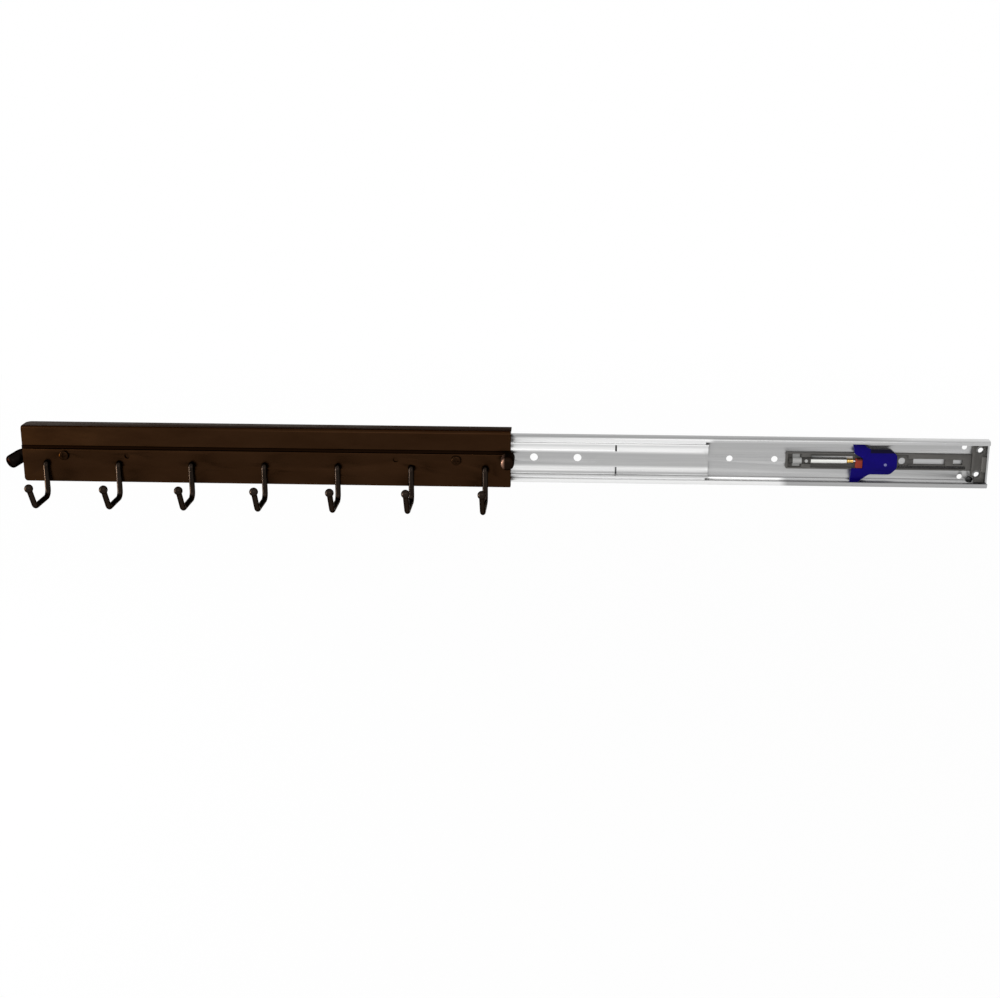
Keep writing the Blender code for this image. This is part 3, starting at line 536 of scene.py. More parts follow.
def bent_wire(bm, path, radius, sides=WIRE_STEPS):
    """Round bar along (point, bend) corners; returns its first and last rings."""
    points = [Vector(point) for point, bend in path]
    heading = (points[1] - points[0]).normalized()
    first = ring(bm, points[0], heading, radius, sides)
    edges = first
    reached = points[0]
    for index in range(1, len(points)):
        heading = (points[index] - points[index - 1]).normalized()
        turning = index < len(points) - 1
        angle = heading.angle(points[index + 1] - points[index]) if turning else 0
        bend = path[index][1]
        corner = points[index] - heading * bend * math.tan(angle / 2)
        edges = moved_on(bm, edges, corner - reached)[1]
        reached = corner
        if turning:
            axis = heading.cross(points[index + 1] - points[index]).normalized()
            centre = corner + axis.cross(heading) * bend
            swept = bmesh.ops.spin(
                bm, geom=ring_verts(edges) + edges, cent=centre, axis=axis, angle=angle, steps=BEND_STEPS,
            )["geom_last"]
            edges = only(swept, bmesh.types.BMEdge)
            reached = centre + Matrix.Rotation(angle, 3, axis) @ (corner - centre)
    return first, edges


def swollen(bm, edges, start, heading, radius, stations):
    """Carry a ring on through (distance, radius) stations and close it."""
    for distance, size in stations:
        centre = start + heading * distance
        edges = moved_on(bm, edges, centre - ring_centre(edges))[1]
        factor = size / radius
        bmesh.ops.scale(
            bm, vec=(factor, factor, factor), space=Matrix.Translation(-centre), verts=ring_verts(edges),
        )
        radius = size
    bmesh.ops.edgeloop_fill(bm, edges=edges)


def piece(name, bm, body, coat, node=None):
    """Finished mesh at the origin that rides on its body and perhaps stands for a CAD node."""
    bmesh.ops.remove_doubles(bm, verts=bm.verts, dist=WELD)
    bmesh.ops.recalc_face_normals(bm, faces=bm.faces)
    mesh = bpy.data.meshes.new(name)
    bm.to_mesh(mesh)
    bm.free()
    mesh.shade_smooth()
    mesh.set_sharp_from_angle(angle=SHARP)
    mesh.materials.append(coat)
    made = bpy.data.objects.new(name, mesh)
    scene.collection.objects.link(made)
    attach(made, body)
    if node:
        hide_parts(node)
    return made


# Finishes

# Range that most of a noise falls in
NOISE_LOW = 0.3
NOISE_HIGH = 0.7

# Sockets of a Mix node that mixes colours
MIX_SHARE = 0
MIX_FIRST = 6
MIX_SECOND = 7
MIX_RESULT = 2

# Zinc: the share of painted light that is as plated, the painted shade and painted highlight at the ends of
# that scale, and its rolling streaks
PLAIN = 0.4
PAINTED_SHADE_ZINC = (0.16, 0.16, 0.162, 1)
PAINTED_SHEEN_ZINC = (0.9, 0.9, 0.895, 1)
CLOUDED_ZINC = (0.43, 0.432, 0.44, 1)
ZINC_ROUGHNESS = 0.34
ROLLING_LINES = (9, 420, 900)
PLATING_CLOUD = 55

# Outer channel: where its brighter painted highlights fade out along the slide, and where its top ridge is
# painted lighter towards the rear
UPPER_HIGHLIGHT_FADE = 4 * MM
LOWER_HIGHLIGHT_FADE = (27 * MM, 33 * MM)
RIDGE_BELOW_TOP = (1.2 * MM, 0.2 * MM)
RIDGE_LIGHTER_FROM = (80 * MM, 120 * MM)
RIDGE_PAINTED_LIGHT = 0.35

# Bronze and plastic: their patterns, the tint of a glance and the painted shade in the groove
MOTTLE = 70
MOTTLE_STRETCH = (0.35, 1, 1)
SPECKLE = 900
GLANCE_TINT = (0.35, 0.33, 0.31, 1)
GROOVE_PAINTED_SHADE = (0.008, 0.0034, 0.0014, 1)
FLOW_MARKS = 90
FLOW_STRETCH = (0.3, 1, 1)
SPARK_GRAIN = 2600


def add_node(tree, kind, inputs=None, **settings):
    """Node with its settings made and its inputs linked or set."""
    made = tree.nodes.new(kind)
    for setting, value in settings.items():
        setattr(made, setting, value)
    for socket, value in (inputs or {}).items():
        if isinstance(value, bpy.types.NodeSocket):
            tree.links.new(value, made.inputs[socket])
        else:
            made.inputs[socket].default_value = value
    return made


class Finish:
    """Material under construction, with short ways to add its nodes."""

    def __init__(self, name, roughness, metallic):
        self.material = bpy.data.materials.new(name)
        self.material.use_nodes = True
        self.tree = self.material.node_tree
        self.shader = self.tree.nodes["Principled BSDF"]
        self.shader.inputs["Roughness"].default_value = roughness
        self.shader.inputs["Metallic"].default_value = metallic
        surface = self.node("ShaderNodeTexCoord")
        self.place = surface.outputs["Object"]
        self.facing = surface.outputs["Normal"]
        self.along, self.across, self.height = self.axes(self.place)

    def node(self, kind, inputs=None, **settings):
        return add_node(self.tree, kind, inputs, **settings)

    def axes(self, vector):
        """A vector's share along the slide, across the wall and in height."""
        split = self.node("ShaderNodeSeparateXYZ", {"Vector": vector})
        return [split.outputs[axis] for axis in "XYZ"]

    def grain(self, scale, stretch=(1, 1, 1), detail=3, roughness=0.55):
        """Noise over the object, stretched along its axes."""
        spread = self.node("ShaderNodeMapping", {"Vector": self.place, "Scale": stretch})
        return self.node(
            "ShaderNodeTexNoise",
            {"Vector": spread.outputs["Vector"], "Scale": scale, "Detail": detail, "Roughness": roughness},
        ).outputs["Fac"]

    def ramp(self, value, stops):
        """Colours at (position, colour) stops."""
        made = self.node("ShaderNodeValToRGB", {"Fac": value})
        elements = made.color_ramp.elements
        while len(elements) < len(stops):
            elements.new(0.5)
        for element, (position, colour) in zip(elements, stops):
            element.position = position
            element.color = (*colour, 1)
        return made.outputs["Color"]

    def mapped(self, value, low, high, to_low=0.0, to_high=1.0):
        """A value's place between two levels, as a share or in another range."""
        return self.node(
            "ShaderNodeMapRange",
            {"Value": value, "From Min": low, "From Max": high, "To Min": to_low, "To Max": to_high},
        ).outputs["Result"]

    def figure(self, operation, first, second=0.0):
        return self.node("ShaderNodeMath", {0: first, 1: second}, operation=operation).outputs[0]

    def away(self, value, level):
        """Distance of a value from a level."""
        return self.figure("ABSOLUTE", self.figure("SUBTRACT", value, level))

    def towards_user(self):
        """Share that is 1 on sides that don't face the wall."""
        return self.mapped(self.axes(self.facing)[1], 0.4, 0.1)

    def mixed(self, share, first, second):
        """Colour between two, at a share of the second."""
        inputs = {MIX_SHARE: share, MIX_FIRST: first, MIX_SECOND: second}
        return self.node("ShaderNodeMix", inputs, data_type="RGBA").outputs[MIX_RESULT]

    def tinted(self, noise, low, high):
        """Colour that goes from one shade to another over a noise."""
        return self.ramp(noise, [(NOISE_LOW, low), (NOISE_HIGH, high)])

    def give(self, socket, value):
        self.tree.links.new(value, self.shader.inputs[socket])

    def roughened(self, noise, low, high):
        """Roughness that goes from one value to another over a noise."""
        self.give("Roughness", self.mapped(noise, NOISE_LOW, NOISE_HIGH, low, high))

    def bumped(self, height, strength, distance):
        inputs = {"Height": height, "Strength": strength, "Distance": distance}
        self.give("Normal", self.node("ShaderNodeBump", inputs).outputs["Normal"])


def zinc_streaks(finish):
    """Rolling streaks along the strip and a faint cloud in the plating."""
    streaks = finish.grain(1, ROLLING_LINES, detail=4)
    cloud = finish.grain(PLATING_CLOUD, detail=2)
    finish.roughened(streaks, 0.26, 0.42)
    finish.bumped(streaks, 0.12, 0.04 * MM)
    dull = finish.tinted(streaks, (0.4, 0.4, 0.4), (0.485, 0.485, 0.48))
    return finish.mixed(finish.mapped(cloud, 0.35, 0.65, 0, 0.35), dull, CLOUDED_ZINC)


def painted_light_bands(finish, half, stops):
    """Painted light over the height from (height in mm, share) stops: 0 is painted shade, PLAIN as plated, 1
    painted highlight.
    """
    level = finish.mapped(finish.height, -half, half)
    shades = [(0.5 + place * MM / (2 * half), (share, share, share)) for place, share in stops]
    return finish.ramp(level, shades)


def zinc_with_painted_light(finish, share):
    """Colour of the plating at a share of painted light, from painted shade through plain plating to painted
    highlight, and as plated on the sides that face the wall.
    """
    share = finish.mixed(finish.towards_user(), (PLAIN, PLAIN, PLAIN, 1), share)
    plated = finish.mixed(finish.mapped(share, 0, PLAIN), PAINTED_SHADE_ZINC, zinc_streaks(finish))
    return finish.mixed(finish.mapped(share, PLAIN, 1), plated, PAINTED_SHEEN_ZINC)


def outer_zinc():
    """Zinc plate of the outer channel, with painted highlights and painted shade in bands over its height,
    brighter on the lips and races towards the front, and its top ridge painted lighter towards the rear.
    """
    finish = Finish("outer_zinc", ZINC_ROUGHNESS, 1)
    # Two sets of painted highlight and painted shade bands over the height: the brighter set towards the
    # front, the duller set towards the rear
    brighter_painted_bands = painted_light_bands(finish, outer.top, (
        (-17.3, 0.7), (-16.5, 0.95), (-14.5, 0.95), (-13.7, 0.3), (-12.8, PLAIN),
        (13, PLAIN), (13.8, 0.95), (15, 0.9), (16.5, 0.37), (17.2, 0.24),
    ))
    duller_painted_bands = painted_light_bands(finish, outer.top, (
        (-17.3, 0.2), (-16.3, 0.34), (-14.6, 0.34), (-14, 0.1), (-12.9, PLAIN),
        (12.9, PLAIN), (14, 0.51), (15.4, 0.45), (16.6, 0.27), (17.2, 0.24),
    ))
    upper_end = finish.mapped(finish.along, middle.right, middle.right + UPPER_HIGHLIGHT_FADE)
    lower_end = finish.mapped(finish.along, *LOWER_HIGHLIGHT_FADE)
    beyond = finish.mixed(finish.mapped(finish.height, -MM, MM), lower_end, upper_end)
    share = finish.mixed(beyond, brighter_painted_bands, duller_painted_bands)
    # Painted light: the top ridge is painted lighter towards the rear
    ridge = finish.mapped(finish.height, *(outer.top - below for below in RIDGE_BELOW_TOP))
    lighter_rear = finish.mapped(finish.along, *RIDGE_LIGHTER_FROM, 0, RIDGE_PAINTED_LIGHT)
    share = finish.figure("ADD", share, finish.figure("MULTIPLY", ridge, lighter_rear))
    finish.give("Base Color", zinc_with_painted_light(finish, share))
    return finish.material


def middle_zinc():
    """Zinc plate of the intermediate strip, with painted highlights along its beads and bends and painted
    shade between them.
    """
    finish = Finish("middle_zinc", ZINC_ROUGHNESS, 1)
    # Painted highlight and painted shade bands over the height of the strip
    share = painted_light_bands(finish, middle.top, (
        (-12.1, 0.7), (-9.6, 0.34), (-8.4, 0.72), (-6.6, 1), (-4.3, PLAIN),
        (4.3, PLAIN), (6, 0.82), (7.8, 1), (10, 0.73), (12, 0.95),
    ))
    finish.give("Base Color", zinc_with_painted_light(finish, share))
    return finish.material


def inner_zinc():
    """Zinc plate of the inner strip, which shows no wear."""
    finish = Finish("inner_zinc", ZINC_ROUGHNESS, 1)
    finish.give("Base Color", zinc_streaks(finish))
    return finish.material


def bronze(name, low, high, roughness, rub_and_highlight=None, edge=None, highlight_streak=None, groove=None):
    """Oil-rubbed bronze: a mottled dark coat, rubbed back along an edge, with a painted highlight along a
    streak and painted shade in a groove.
    """
    finish = Finish(name, roughness, 1)
    finish.shader.inputs["Specular Tint"].default_value = GLANCE_TINT
    mottle = finish.grain(MOTTLE, MOTTLE_STRETCH, detail=5, roughness=0.6)
    colour = finish.tinted(mottle, low, high)
    if edge is not None:
        wear_and_highlight = finish.mapped(finish.away(finish.height, edge), RAIL_EDGE, 0)
        wear_and_highlight = finish.figure("MULTIPLY", wear_and_highlight, finish.mapped(mottle, 0.4, 0.6))
        colour = finish.mixed(wear_and_highlight, colour, (*rub_and_highlight, 1))
    # Painted highlight: a lighter streak at one place along the slide
    if highlight_streak is not None:
        wear_and_highlight = finish.mapped(finish.away(finish.along, highlight_streak), HIGHLIGHT_STREAK_WIDTH, HIGHLIGHT_STREAK_WIDTH / 4)
        colour = finish.mixed(wear_and_highlight, colour, (*rub_and_highlight, 1))
    # Painted shade darkens the groove in the rail's front
    if groove is not None:
        half = GROOVE_HEIGHT / 2
        near = finish.mapped(finish.away(finish.height, groove), half, half * 0.7)
        sunk = finish.mapped(finish.across, -rail.front, -rail.front + GROOVE_DEPTH / 2)
        colour = finish.mixed(finish.figure("MULTIPLY", near, sunk), colour, GROOVE_PAINTED_SHADE)
    finish.give("Base Color", colour)
    finish.roughened(mottle, roughness - 0.05, roughness + 0.09)
    finish.bumped(finish.grain(SPECKLE, detail=2), 0.1, 0.03 * MM)
    return finish.material


def plastic(name, low, high, roughness, gloss, painted_top_shade=None):
    """Moulded plastic with a fine spark-eroded grain, slight flow marks and perhaps painted shade on its
    upper part.
    """
    finish = Finish(name, roughness, 0)
    finish.shader.inputs["Specular IOR Level"].default_value = gloss
    flow = finish.grain(FLOW_MARKS, FLOW_STRETCH)
    colour = finish.tinted(flow, low, high)
    # Painted shade: darker above a level, behind a place along the slide
    if painted_top_shade:
        start, level, soft, shade = painted_top_shade
        above = finish.mapped(finish.height, level - soft, level)
        behind = finish.mapped(finish.along, start, start + soft)
        colour = finish.mixed(finish.figure("MULTIPLY", above, behind), colour, (*shade, 1))
    finish.give("Base Color", colour)
    finish.roughened(flow, roughness - 0.06, roughness + 0.08)
    finish.bumped(finish.grain(SPARK_GRAIN, detail=1), 0.15, 0.03 * MM)
    return finish.material


def turned_metal(name, low, high, roughness, stretch, painted_upper_shade=None):
    """Bright metal with fine turning or drawing lines, perhaps with a painted darker reflection on its upper
    side.
    """
    finish = Finish(name, roughness, 1)
    lines = finish.grain(1, stretch)
    colour = finish.tinted(lines, low, high)
    # Painted shade: the upper side gets a duller, darker colour
    if painted_upper_shade:
        low_edge, high_edge, shade = painted_upper_shade
        colour = finish.mixed(finish.mapped(finish.height, low_edge, high_edge), colour, (*shade, 1))
    finish.give("Base Color", colour)
    finish.roughened(lines, roughness * 0.75, roughness * 1.4)
    finish.bumped(lines, 0.08, 0.02 * MM)
    return finish.material


outer_coat = outer_zinc()
middle_coat = middle_zinc()
inner_coat = inner_zinc()
rail_coat = bronze(
    "rail_bronze", (0.0225, 0.0095, 0.0038), (0.031, 0.0138, 0.0059), 0.31, (0.06, 0.028, 0.013),
    edge=rail.bottom, groove=rail.bottom + GROOVE_RISE,
)
wire_coat = bronze("wire_bronze", (0.0145, 0.0105, 0.0078), (0.023, 0.0165, 0.013), 0.27)
screw_coat = bronze("screw_bronze", (0.014, 0.0062, 0.0027), (0.02, 0.009, 0.004), 0.3)
pull_coat = bronze("pull_bronze", (0.0045, 0.0031, 0.0026), (0.0078, 0.0054, 0.0046), 0.3)
# The bumper's lighter streak is a painted highlight
bumper_coat = bronze(
    "bumper_bronze", (0.009, 0.0047, 0.003), (0.014, 0.0075, 0.0048), 0.42, (0.18, 0.1, 0.07),
    highlight_streak=rail.right - BUMPER_INSET - HIGHLIGHT_STREAK_PLACE,
)
ball_steel = turned_metal("ball_steel", (0.62, 0.62, 0.62), (0.72, 0.72, 0.72), 0.14, (400, 400, 400))
cage_steel = turned_metal("cage_steel", (0.82, 0.82, 0.82), (0.92, 0.92, 0.92), 0.4, (20, 500, 900))
damper_steel = turned_metal("damper_steel", (0.8, 0.8, 0.78), (0.9, 0.9, 0.88), 0.24, (1800, 60, 60))
# The tube's darker upper side is painted shade standing for a darker reflection
drawn_tube = turned_metal(
    "drawn_tube", (0.76, 0.76, 0.73), (0.86, 0.86, 0.83), 0.3, (30, 700, 700),
    (0.1 * MM, 1.1 * MM, (0.4, 0.4, 0.385)),
)
gland_brass = turned_metal("gland_brass", (0.62, 0.38, 0.1), (0.8, 0.52, 0.16), 0.22, (1800, 60, 60))
spring_steel = turned_metal("spring_wire", (0.06, 0.06, 0.065), (0.11, 0.11, 0.115), 0.3, (700, 700, 700))
rivet_steel = turned_metal("rivet_steel", (0.03, 0.03, 0.03), (0.06, 0.06, 0.06), 0.35, (500, 500, 500))
grey_moulding = plastic("grey_moulding", (0.115, 0.11, 0.103), (0.155, 0.149, 0.14), 0.5, 0.06)
# The blue trigger's darker top is painted shade
blue_moulding = plastic(
    "blue_moulding", (0.0045, 0.0013, 0.13), (0.0075, 0.0025, 0.19), 0.3, 0.06,
    (trigger.left + WING_LENGTH + WING_TAPER, 6.8 * MM, 0.8 * MM, (0.006, 0.004, 0.025)),
)
# The red block's darker top is painted shade
red_moulding = plastic(
    "red_moulding", (0.3, 0.042, 0.024), (0.42, 0.062, 0.036), 0.4, 0.1,
    (coupling.left, 1.6 * MM, 1.2 * MM, (0.05, 0.012, 0.008)),
)
collar_moulding = plastic("collar_moulding", (0.06, 0.058, 0.054), (0.085, 0.082, 0.076), 0.45, 0.08)
cap_moulding = plastic("cap_moulding", (0.42, 0.42, 0.41), (0.58, 0.58, 0.57), 0.45, 0.2)
# The peg end's light colour is partly a painted highlight
peg_and_highlight_moulding = plastic("peg_and_highlight_moulding", (0.16, 0.16, 0.36), (0.24, 0.24, 0.5), 0.3, 0.3)


# Slide


def outer_channel():
    """Outer channel with its lips, screw holes and the tab bent up at the rear."""
    lip = outer.front - OUTER_SHEET / 2
    flange = outer.top - OUTER_SHEET / 2
    section = [
        (lip, outer.top - UPPER_LIP, 0),
        (lip, flange, OUTER_BEND),
        (OUTER_SHEET / 2, flange, RACE_BEND),
        (OUTER_SHEET / 2, -flange, RACE_BEND),
        (lip, -flange, OUTER_BEND),
        (lip, outer.bottom + LOWER_LIP, 0),
    ]
    channel = rolled(section, outer.left, outer.right, OUTER_SHEET)
    half = flange - OUTER_SHEET / 2 - END_TAB_GAP
    tab = block(
        (outer.right - OUTER_SHEET - END_TAB_INSET, OUTER_SHEET / 2, -half),
        (outer.right - END_TAB_INSET, END_TAB_DEPTH, half),
    )
    raised = -END_TAB_DEPTH + END_TAB_INSET
    corners = [edge for edge in tab.edges if all(vert.co.y < raised for vert in edge.verts)]
    corners = [edge for edge in corners if abs(edge.verts[0].co.x - edge.verts[1].co.x) > END_TAB_INSET]
    rounded(tab, corners, END_TAB_CORNER, "EDGES")
    channel = machined(channel, tab, "UNION")
    holes = [(outer.left + place, 0, MOUNT_HOLE) for place in MOUNT_HOLES]
    holes += [(outer.right - place, height, REAR_HOLE) for place, height in REAR_HOLES]
    holes.append((rivet.across, rivet.middle, RIVET_HOLE))
    channel = machined(channel, pins(holes, -THROUGH / 2, THROUGH / 2))
    across = SLOT_WIDTH / 2
    low = -SLOT_DROP - SLOT_HEIGHT / 2
    high = -SLOT_DROP + SLOT_HEIGHT / 2
    for place in MOUNT_SLOTS:
        x = outer.left + place
        slot = oblong(x - across, x + across, low, high, SLOT_ROUND)
        channel = machined(channel, moulded(slot, -THROUGH / 2, THROUGH / 2))
    piece("outer_channel", softened(channel, STRIP_EDGE), "outer", outer_coat, "outer_member")


def middle_strip():
    """Intermediate strip with two beads that run out near its rear end, and a notch across each bead."""
    web = middle.back + BEAD_DEPTH + MIDDLE_SHEET / 2
    band = middle.top - MIDDLE_SHEET / 2
    bead_top = band - MIDDLE_BEND - BEAD_MARGIN
    sunk = web - BEAD_DEPTH
    section = both_halves([
        (middle.front, band, 0),
        (web, band, MIDDLE_BEND),
        (web, bead_top, 0),
        (sunk, bead_top - BEAD_SLOPE, 0),
        (sunk, bead_top - BEAD_WIDTH + BEAD_SLOPE, 0),
        (web, bead_top - BEAD_WIDTH, 0),
    ])
    bm = section_line(section, middle.left)
    length = middle.right - middle.left - BEAD_END - BEAD_FADE
    edges = moved_on(bm, bm.edges[:], (length, 0, 0))[1]
    verts, edges = moved_on(bm, edges, (BEAD_FADE, 0, 0))
    sunken = [vert for vert in verts if vert.co.y > -web + BEAD_DEPTH / 2]
    bmesh.ops.translate(bm, verts=sunken, vec=(0, -BEAD_DEPTH, 0))
    moved_on(bm, edges, (BEAD_END, 0, 0))
    strip = thickened(bm, MIDDLE_SHEET)
    holes = [(outer.left + place, ACCESS_RISE, ACCESS_HOLE) for place in MOUNT_SLOTS]
    strip = machined(strip, pins(holes, web - THROUGH / 2, web + THROUGH / 2))
    notch = middle.right - NOTCH_FROM_REAR
    bead = bead_top - BEAD_WIDTH / 2 + NOTCH_SHIFT
    notches = blocks([
        (
            (notch - NOTCH_WIDTH / 2, 0, height - NOTCH_HEIGHT / 2),
            (notch + NOTCH_WIDTH / 2, THROUGH, height + NOTCH_HEIGHT / 2),
        ) for height in (bead, -bead)
    ])
    strip = machined(strip, notches)
    radius = (DIMPLE ** 2 / 4 + DIMPLE_SINK ** 2) / (2 * DIMPLE_SINK)
    sides, rings = PUNCH_MESH
    place = (middle.right - DIMPLE_FROM_REAR, -(web + MIDDLE_SHEET / 2 - DIMPLE_SINK + radius), 0)
    punch = bmesh.new()
    bmesh.ops.create_uvsphere(
        punch, u_segments=sides, v_segments=rings, radius=radius, matrix=Matrix.Translation(place) @ TO_USER,
    )
    strip = softened(machined(strip, punch), STRIP_EDGE)
    piece("middle_strip", strip, "intermediate", middle_coat, "intermediate_member")


def screw_holes():
    return [(Reach(node).across, 0, SCREW_HOLE) for node in ("rail_screw_front", "rail_screw_rear")]


def inner_strip():
    """Inner strip that the rail is screwed to."""
    flange = inner.top - INNER_SHEET / 2
    web = inner.front - INNER_SHEET / 2
    section = both_halves([(inner.back, flange, 0), (web, flange, INNER_BEND)])
    strip = rolled(section, inner.left, inner.right, INNER_SHEET)
    strip = machined(strip, pins(screw_holes(), web - THROUGH / 2, web + THROUGH / 2))
    piece("inner_strip", softened(strip, STRIP_EDGE), "rail", inner_coat, "inner_member")


def ball_places(start, depth, height):
    """Centres of the balls in a cage that starts at a place along the slide."""
    return [Vector((start + CAGE_END + index * BALL_PITCH, -depth, height)) for index in range(BALLS_IN_ROW)]


def ball_row(places):
    """Polished balls."""
    sides, rings = BALL_MESH
    bm = bmesh.new()
    for centre in places:
        place = Matrix.Translation(centre)
        bmesh.ops.create_uvsphere(bm, u_segments=sides, v_segments=rings, radius=BALL / 2, matrix=place)
    return bm


def pocket_rims(places):
    """Rolled rims that keep the balls in their pockets."""
    bm = bmesh.new()
    for centre in places:
        lip = ring(bm, centre + Vector((BALL / 2, 0, 0)), Vector((0, 1, 0)), POCKET_RIM, RIM_SIDES)
        bmesh.ops.spin(
            bm, geom=ring_verts(lip) + lip, cent=centre, axis=(0, 0, 1), angle=2 * math.pi, steps=RIM_STEPS,
            use_merge=True,
        )
    bmesh.ops.remove_doubles(bm, verts=bm.verts, dist=WELD)
    return bm


def ball_cages():
    """Pressed cages between the strips, and the ball rows that roll in them."""
    for side, way in (("upper", 1), ("lower", -1)):
        node = f"outer_cage_{side}"
        cage = Reach(node)
        leaf = cage.front - CAGE_SHEET / 2
        fold = cage.middle if way > 0 else cage.middle - LOWER_FOLD
        section = [
            (cage.back + CAGE_EDGE, fold, 0),
            (leaf, fold, CAGE_BEND),
            (leaf, way * (middle.top + LEAF_GAP), 0),
        ]
        strip = softened(rolled(section, cage.left, cage.right, CAGE_SHEET), STRIP_EDGE)
        places = ball_places(cage.left, cage.back + BALL / 2, cage.middle)
        add(strip, pocket_rims(places))
        piece(f"race_cage_{side}", strip, "outer_balls", cage_steel, node)
        piece(f"race_balls_{side}", ball_row(places), "outer_balls", ball_steel)
    cage = Reach("inner_cage")
    web = cage.back + CAGE_SHEET / 2
    height = cage.top - BALL / 2
    section = both_halves([(cage.front - CAGE_EDGE, height, 0), (web, height, INNER_BEND)])
    strip = softened(rolled(section, cage.left, cage.right, CAGE_SHEET), STRIP_EDGE)
    row = bmesh.new()
    for level in (height, -height):
        places = ball_places(cage.left, cage.front - BALL / 2, level)
        add(strip, pocket_rims(places))
        add(row, ball_row(places))
    piece("rail_cage", strip, "inner_balls", cage_steel, "inner_cage")
    piece("rail_cage_balls", row, "inner_balls", ball_steel)


# Rail


def rail_extrusion():
    """Rail drawn along X: a flange behind the hooks, a groove and a hood, with rounded lower corners."""
    groove_low = rail.bottom + GROOVE_RISE - GROOVE_HEIGHT / 2
    groove_high = groove_low + GROOVE_HEIGHT
    wall = rail.front - RAIL_WALL
    floor = rail.front - GROOVE_DEPTH
    hood = rail.top - HOOD_WALL
    section = [
        (wall, rail.bottom, RAIL_EDGE),
        (rail.front, rail.bottom, RAIL_EDGE),
        (rail.front, groove_low, GROOVE_SLOPE / 2),
        (floor, groove_low + GROOVE_SLOPE, GROOVE_SLOPE / 2),
        (floor, groove_high - GROOVE_SLOPE, GROOVE_SLOPE / 2),
        (rail.front, groove_high, GROOVE_SLOPE / 2),
        (rail.front, rail.top, HOOD_ROUND),
        (rail.back, rail.top, RAIL_EDGE / 2),
        (rail.back, hood, RAIL_EDGE / 2),
        (wall, hood, RAIL_EDGE),
    ]
    points = [(rail.left, -depth, height) for depth, height, edge in section]
    bm = drawn(points, [edge for depth, height, edge in section], (rail.right - rail.left, 0, 0))
    for end, way, corner in ((rail.left, 1, FRONT_CORNER), (rail.right, -1, REAR_CORNER)):
        waste = block(
            (end - corner, 0, rail.bottom - corner),
            (end + corner, 2 * rail.front, rail.bottom + corner),
        )
        kept = pins([(end + way * corner, rail.bottom + corner, 2 * corner)], -THROUGH, 3 * rail.front)
        bm = machined(bm, machined(waste, kept))
    bm = machined(bm, hood_corner())
    spares = [(x, 0, SCREW_HOLE) for x in (rail.left + SPARE_FROM_FRONT, rail.right - SPARE_FROM_REAR)]
    bm = machined(bm, pins(spares, rail.front - SPARE_DEPTH, rail.front + THROUGH / 3))
    eye = rail.bottom + HOOK_EYE_RISE
    holes = screw_holes()
    holes += [(Reach(node).across, eye, HOOK_WIRE + 2 * SNUG_GAP) for node in hook_nodes()]
    bm = machined(bm, pins(holes, wall - THROUGH / 3, rail.front + THROUGH / 3))
    piece("rail_extrusion", softened(bm, STRIP_EDGE), "rail", rail_coat, "belt_rail")


def hood_corner():
    """Waste outside the round of the hood's front corner at the wall, seen from above."""
    centre = Vector((rail.left + HOOD_CORNER, -rail.back - HOOD_CORNER))
    radius = HOOD_CORNER + SEAT_GAP
    steps = 2 * BEND_STEPS
    plan = []
    for step in range(steps + 1):
        turn = math.pi / 2 * (1 + step / steps)
        plan.append((centre.x + radius * math.cos(turn), centre.y + radius * math.sin(turn)))
    plan.append((rail.left - HOOD_CORNER, plan[-1][1]))
    plan.append((rail.left - HOOD_CORNER, HOOD_CORNER - rail.back))
    plan.append((plan[0][0], HOOD_CORNER - rail.back))
    return drawn([(x, y, rail.top - 2 * HOOD_CORNER) for x, y in plan], (), (0, 0, 3 * HOOD_CORNER))


def hook_nodes():
    return [f"belt_hook_{number}" for number in range(1, HOOK_COUNT + 1)]


def wire_hooks():
    """Hooks bent from one wire, upset at the tip to a ball that ends half a step short of its pole."""
    eye = rail.bottom + HOOK_EYE_RISE
    radius = HOOK_WIRE / 2
    shank = rail.front + FIT_GAP + radius
    ball = HOOK_BALL / 2
    begin = math.asin(radius / ball)
    steps = 2 * BEND_STEPS
    turns = [begin + (math.pi - begin) * step / (steps + 0.5) for step in range(1, steps + 1)]
    stations = [(-ball * math.cos(turn), ball * math.sin(turn)) for turn in turns]
    for number, node in enumerate(hook_nodes(), start=1):
        hook = Reach(node)
        x = hook.across
        foot = hook.bottom + radius
        tip = Vector((x, -(hook.front - ball), foot + HOOK_TIP_RISE))
        foot_end = Vector((x, -(rail.front + HOOK_REACH), foot))
        heading = (tip - foot_end).normalized()
        neck = tip - heading * math.sqrt(ball ** 2 - radius ** 2)
        bm = bmesh.new()
        first, last = bent_wire(bm, [
            ((x, -hook.back, eye), 0),
            ((x, -shank, eye), radius + FIT_GAP),
            ((x, -shank, foot), HOOK_BEND),
            (foot_end, HOOK_BEND),
            (neck, 0),
        ], radius)
        bmesh.ops.edgeloop_fill(bm, edges=first)
        swollen(bm, last, tip, heading, radius, stations)
        piece(f"wire_hook_{number}", bm, "rail", wire_coat, node)


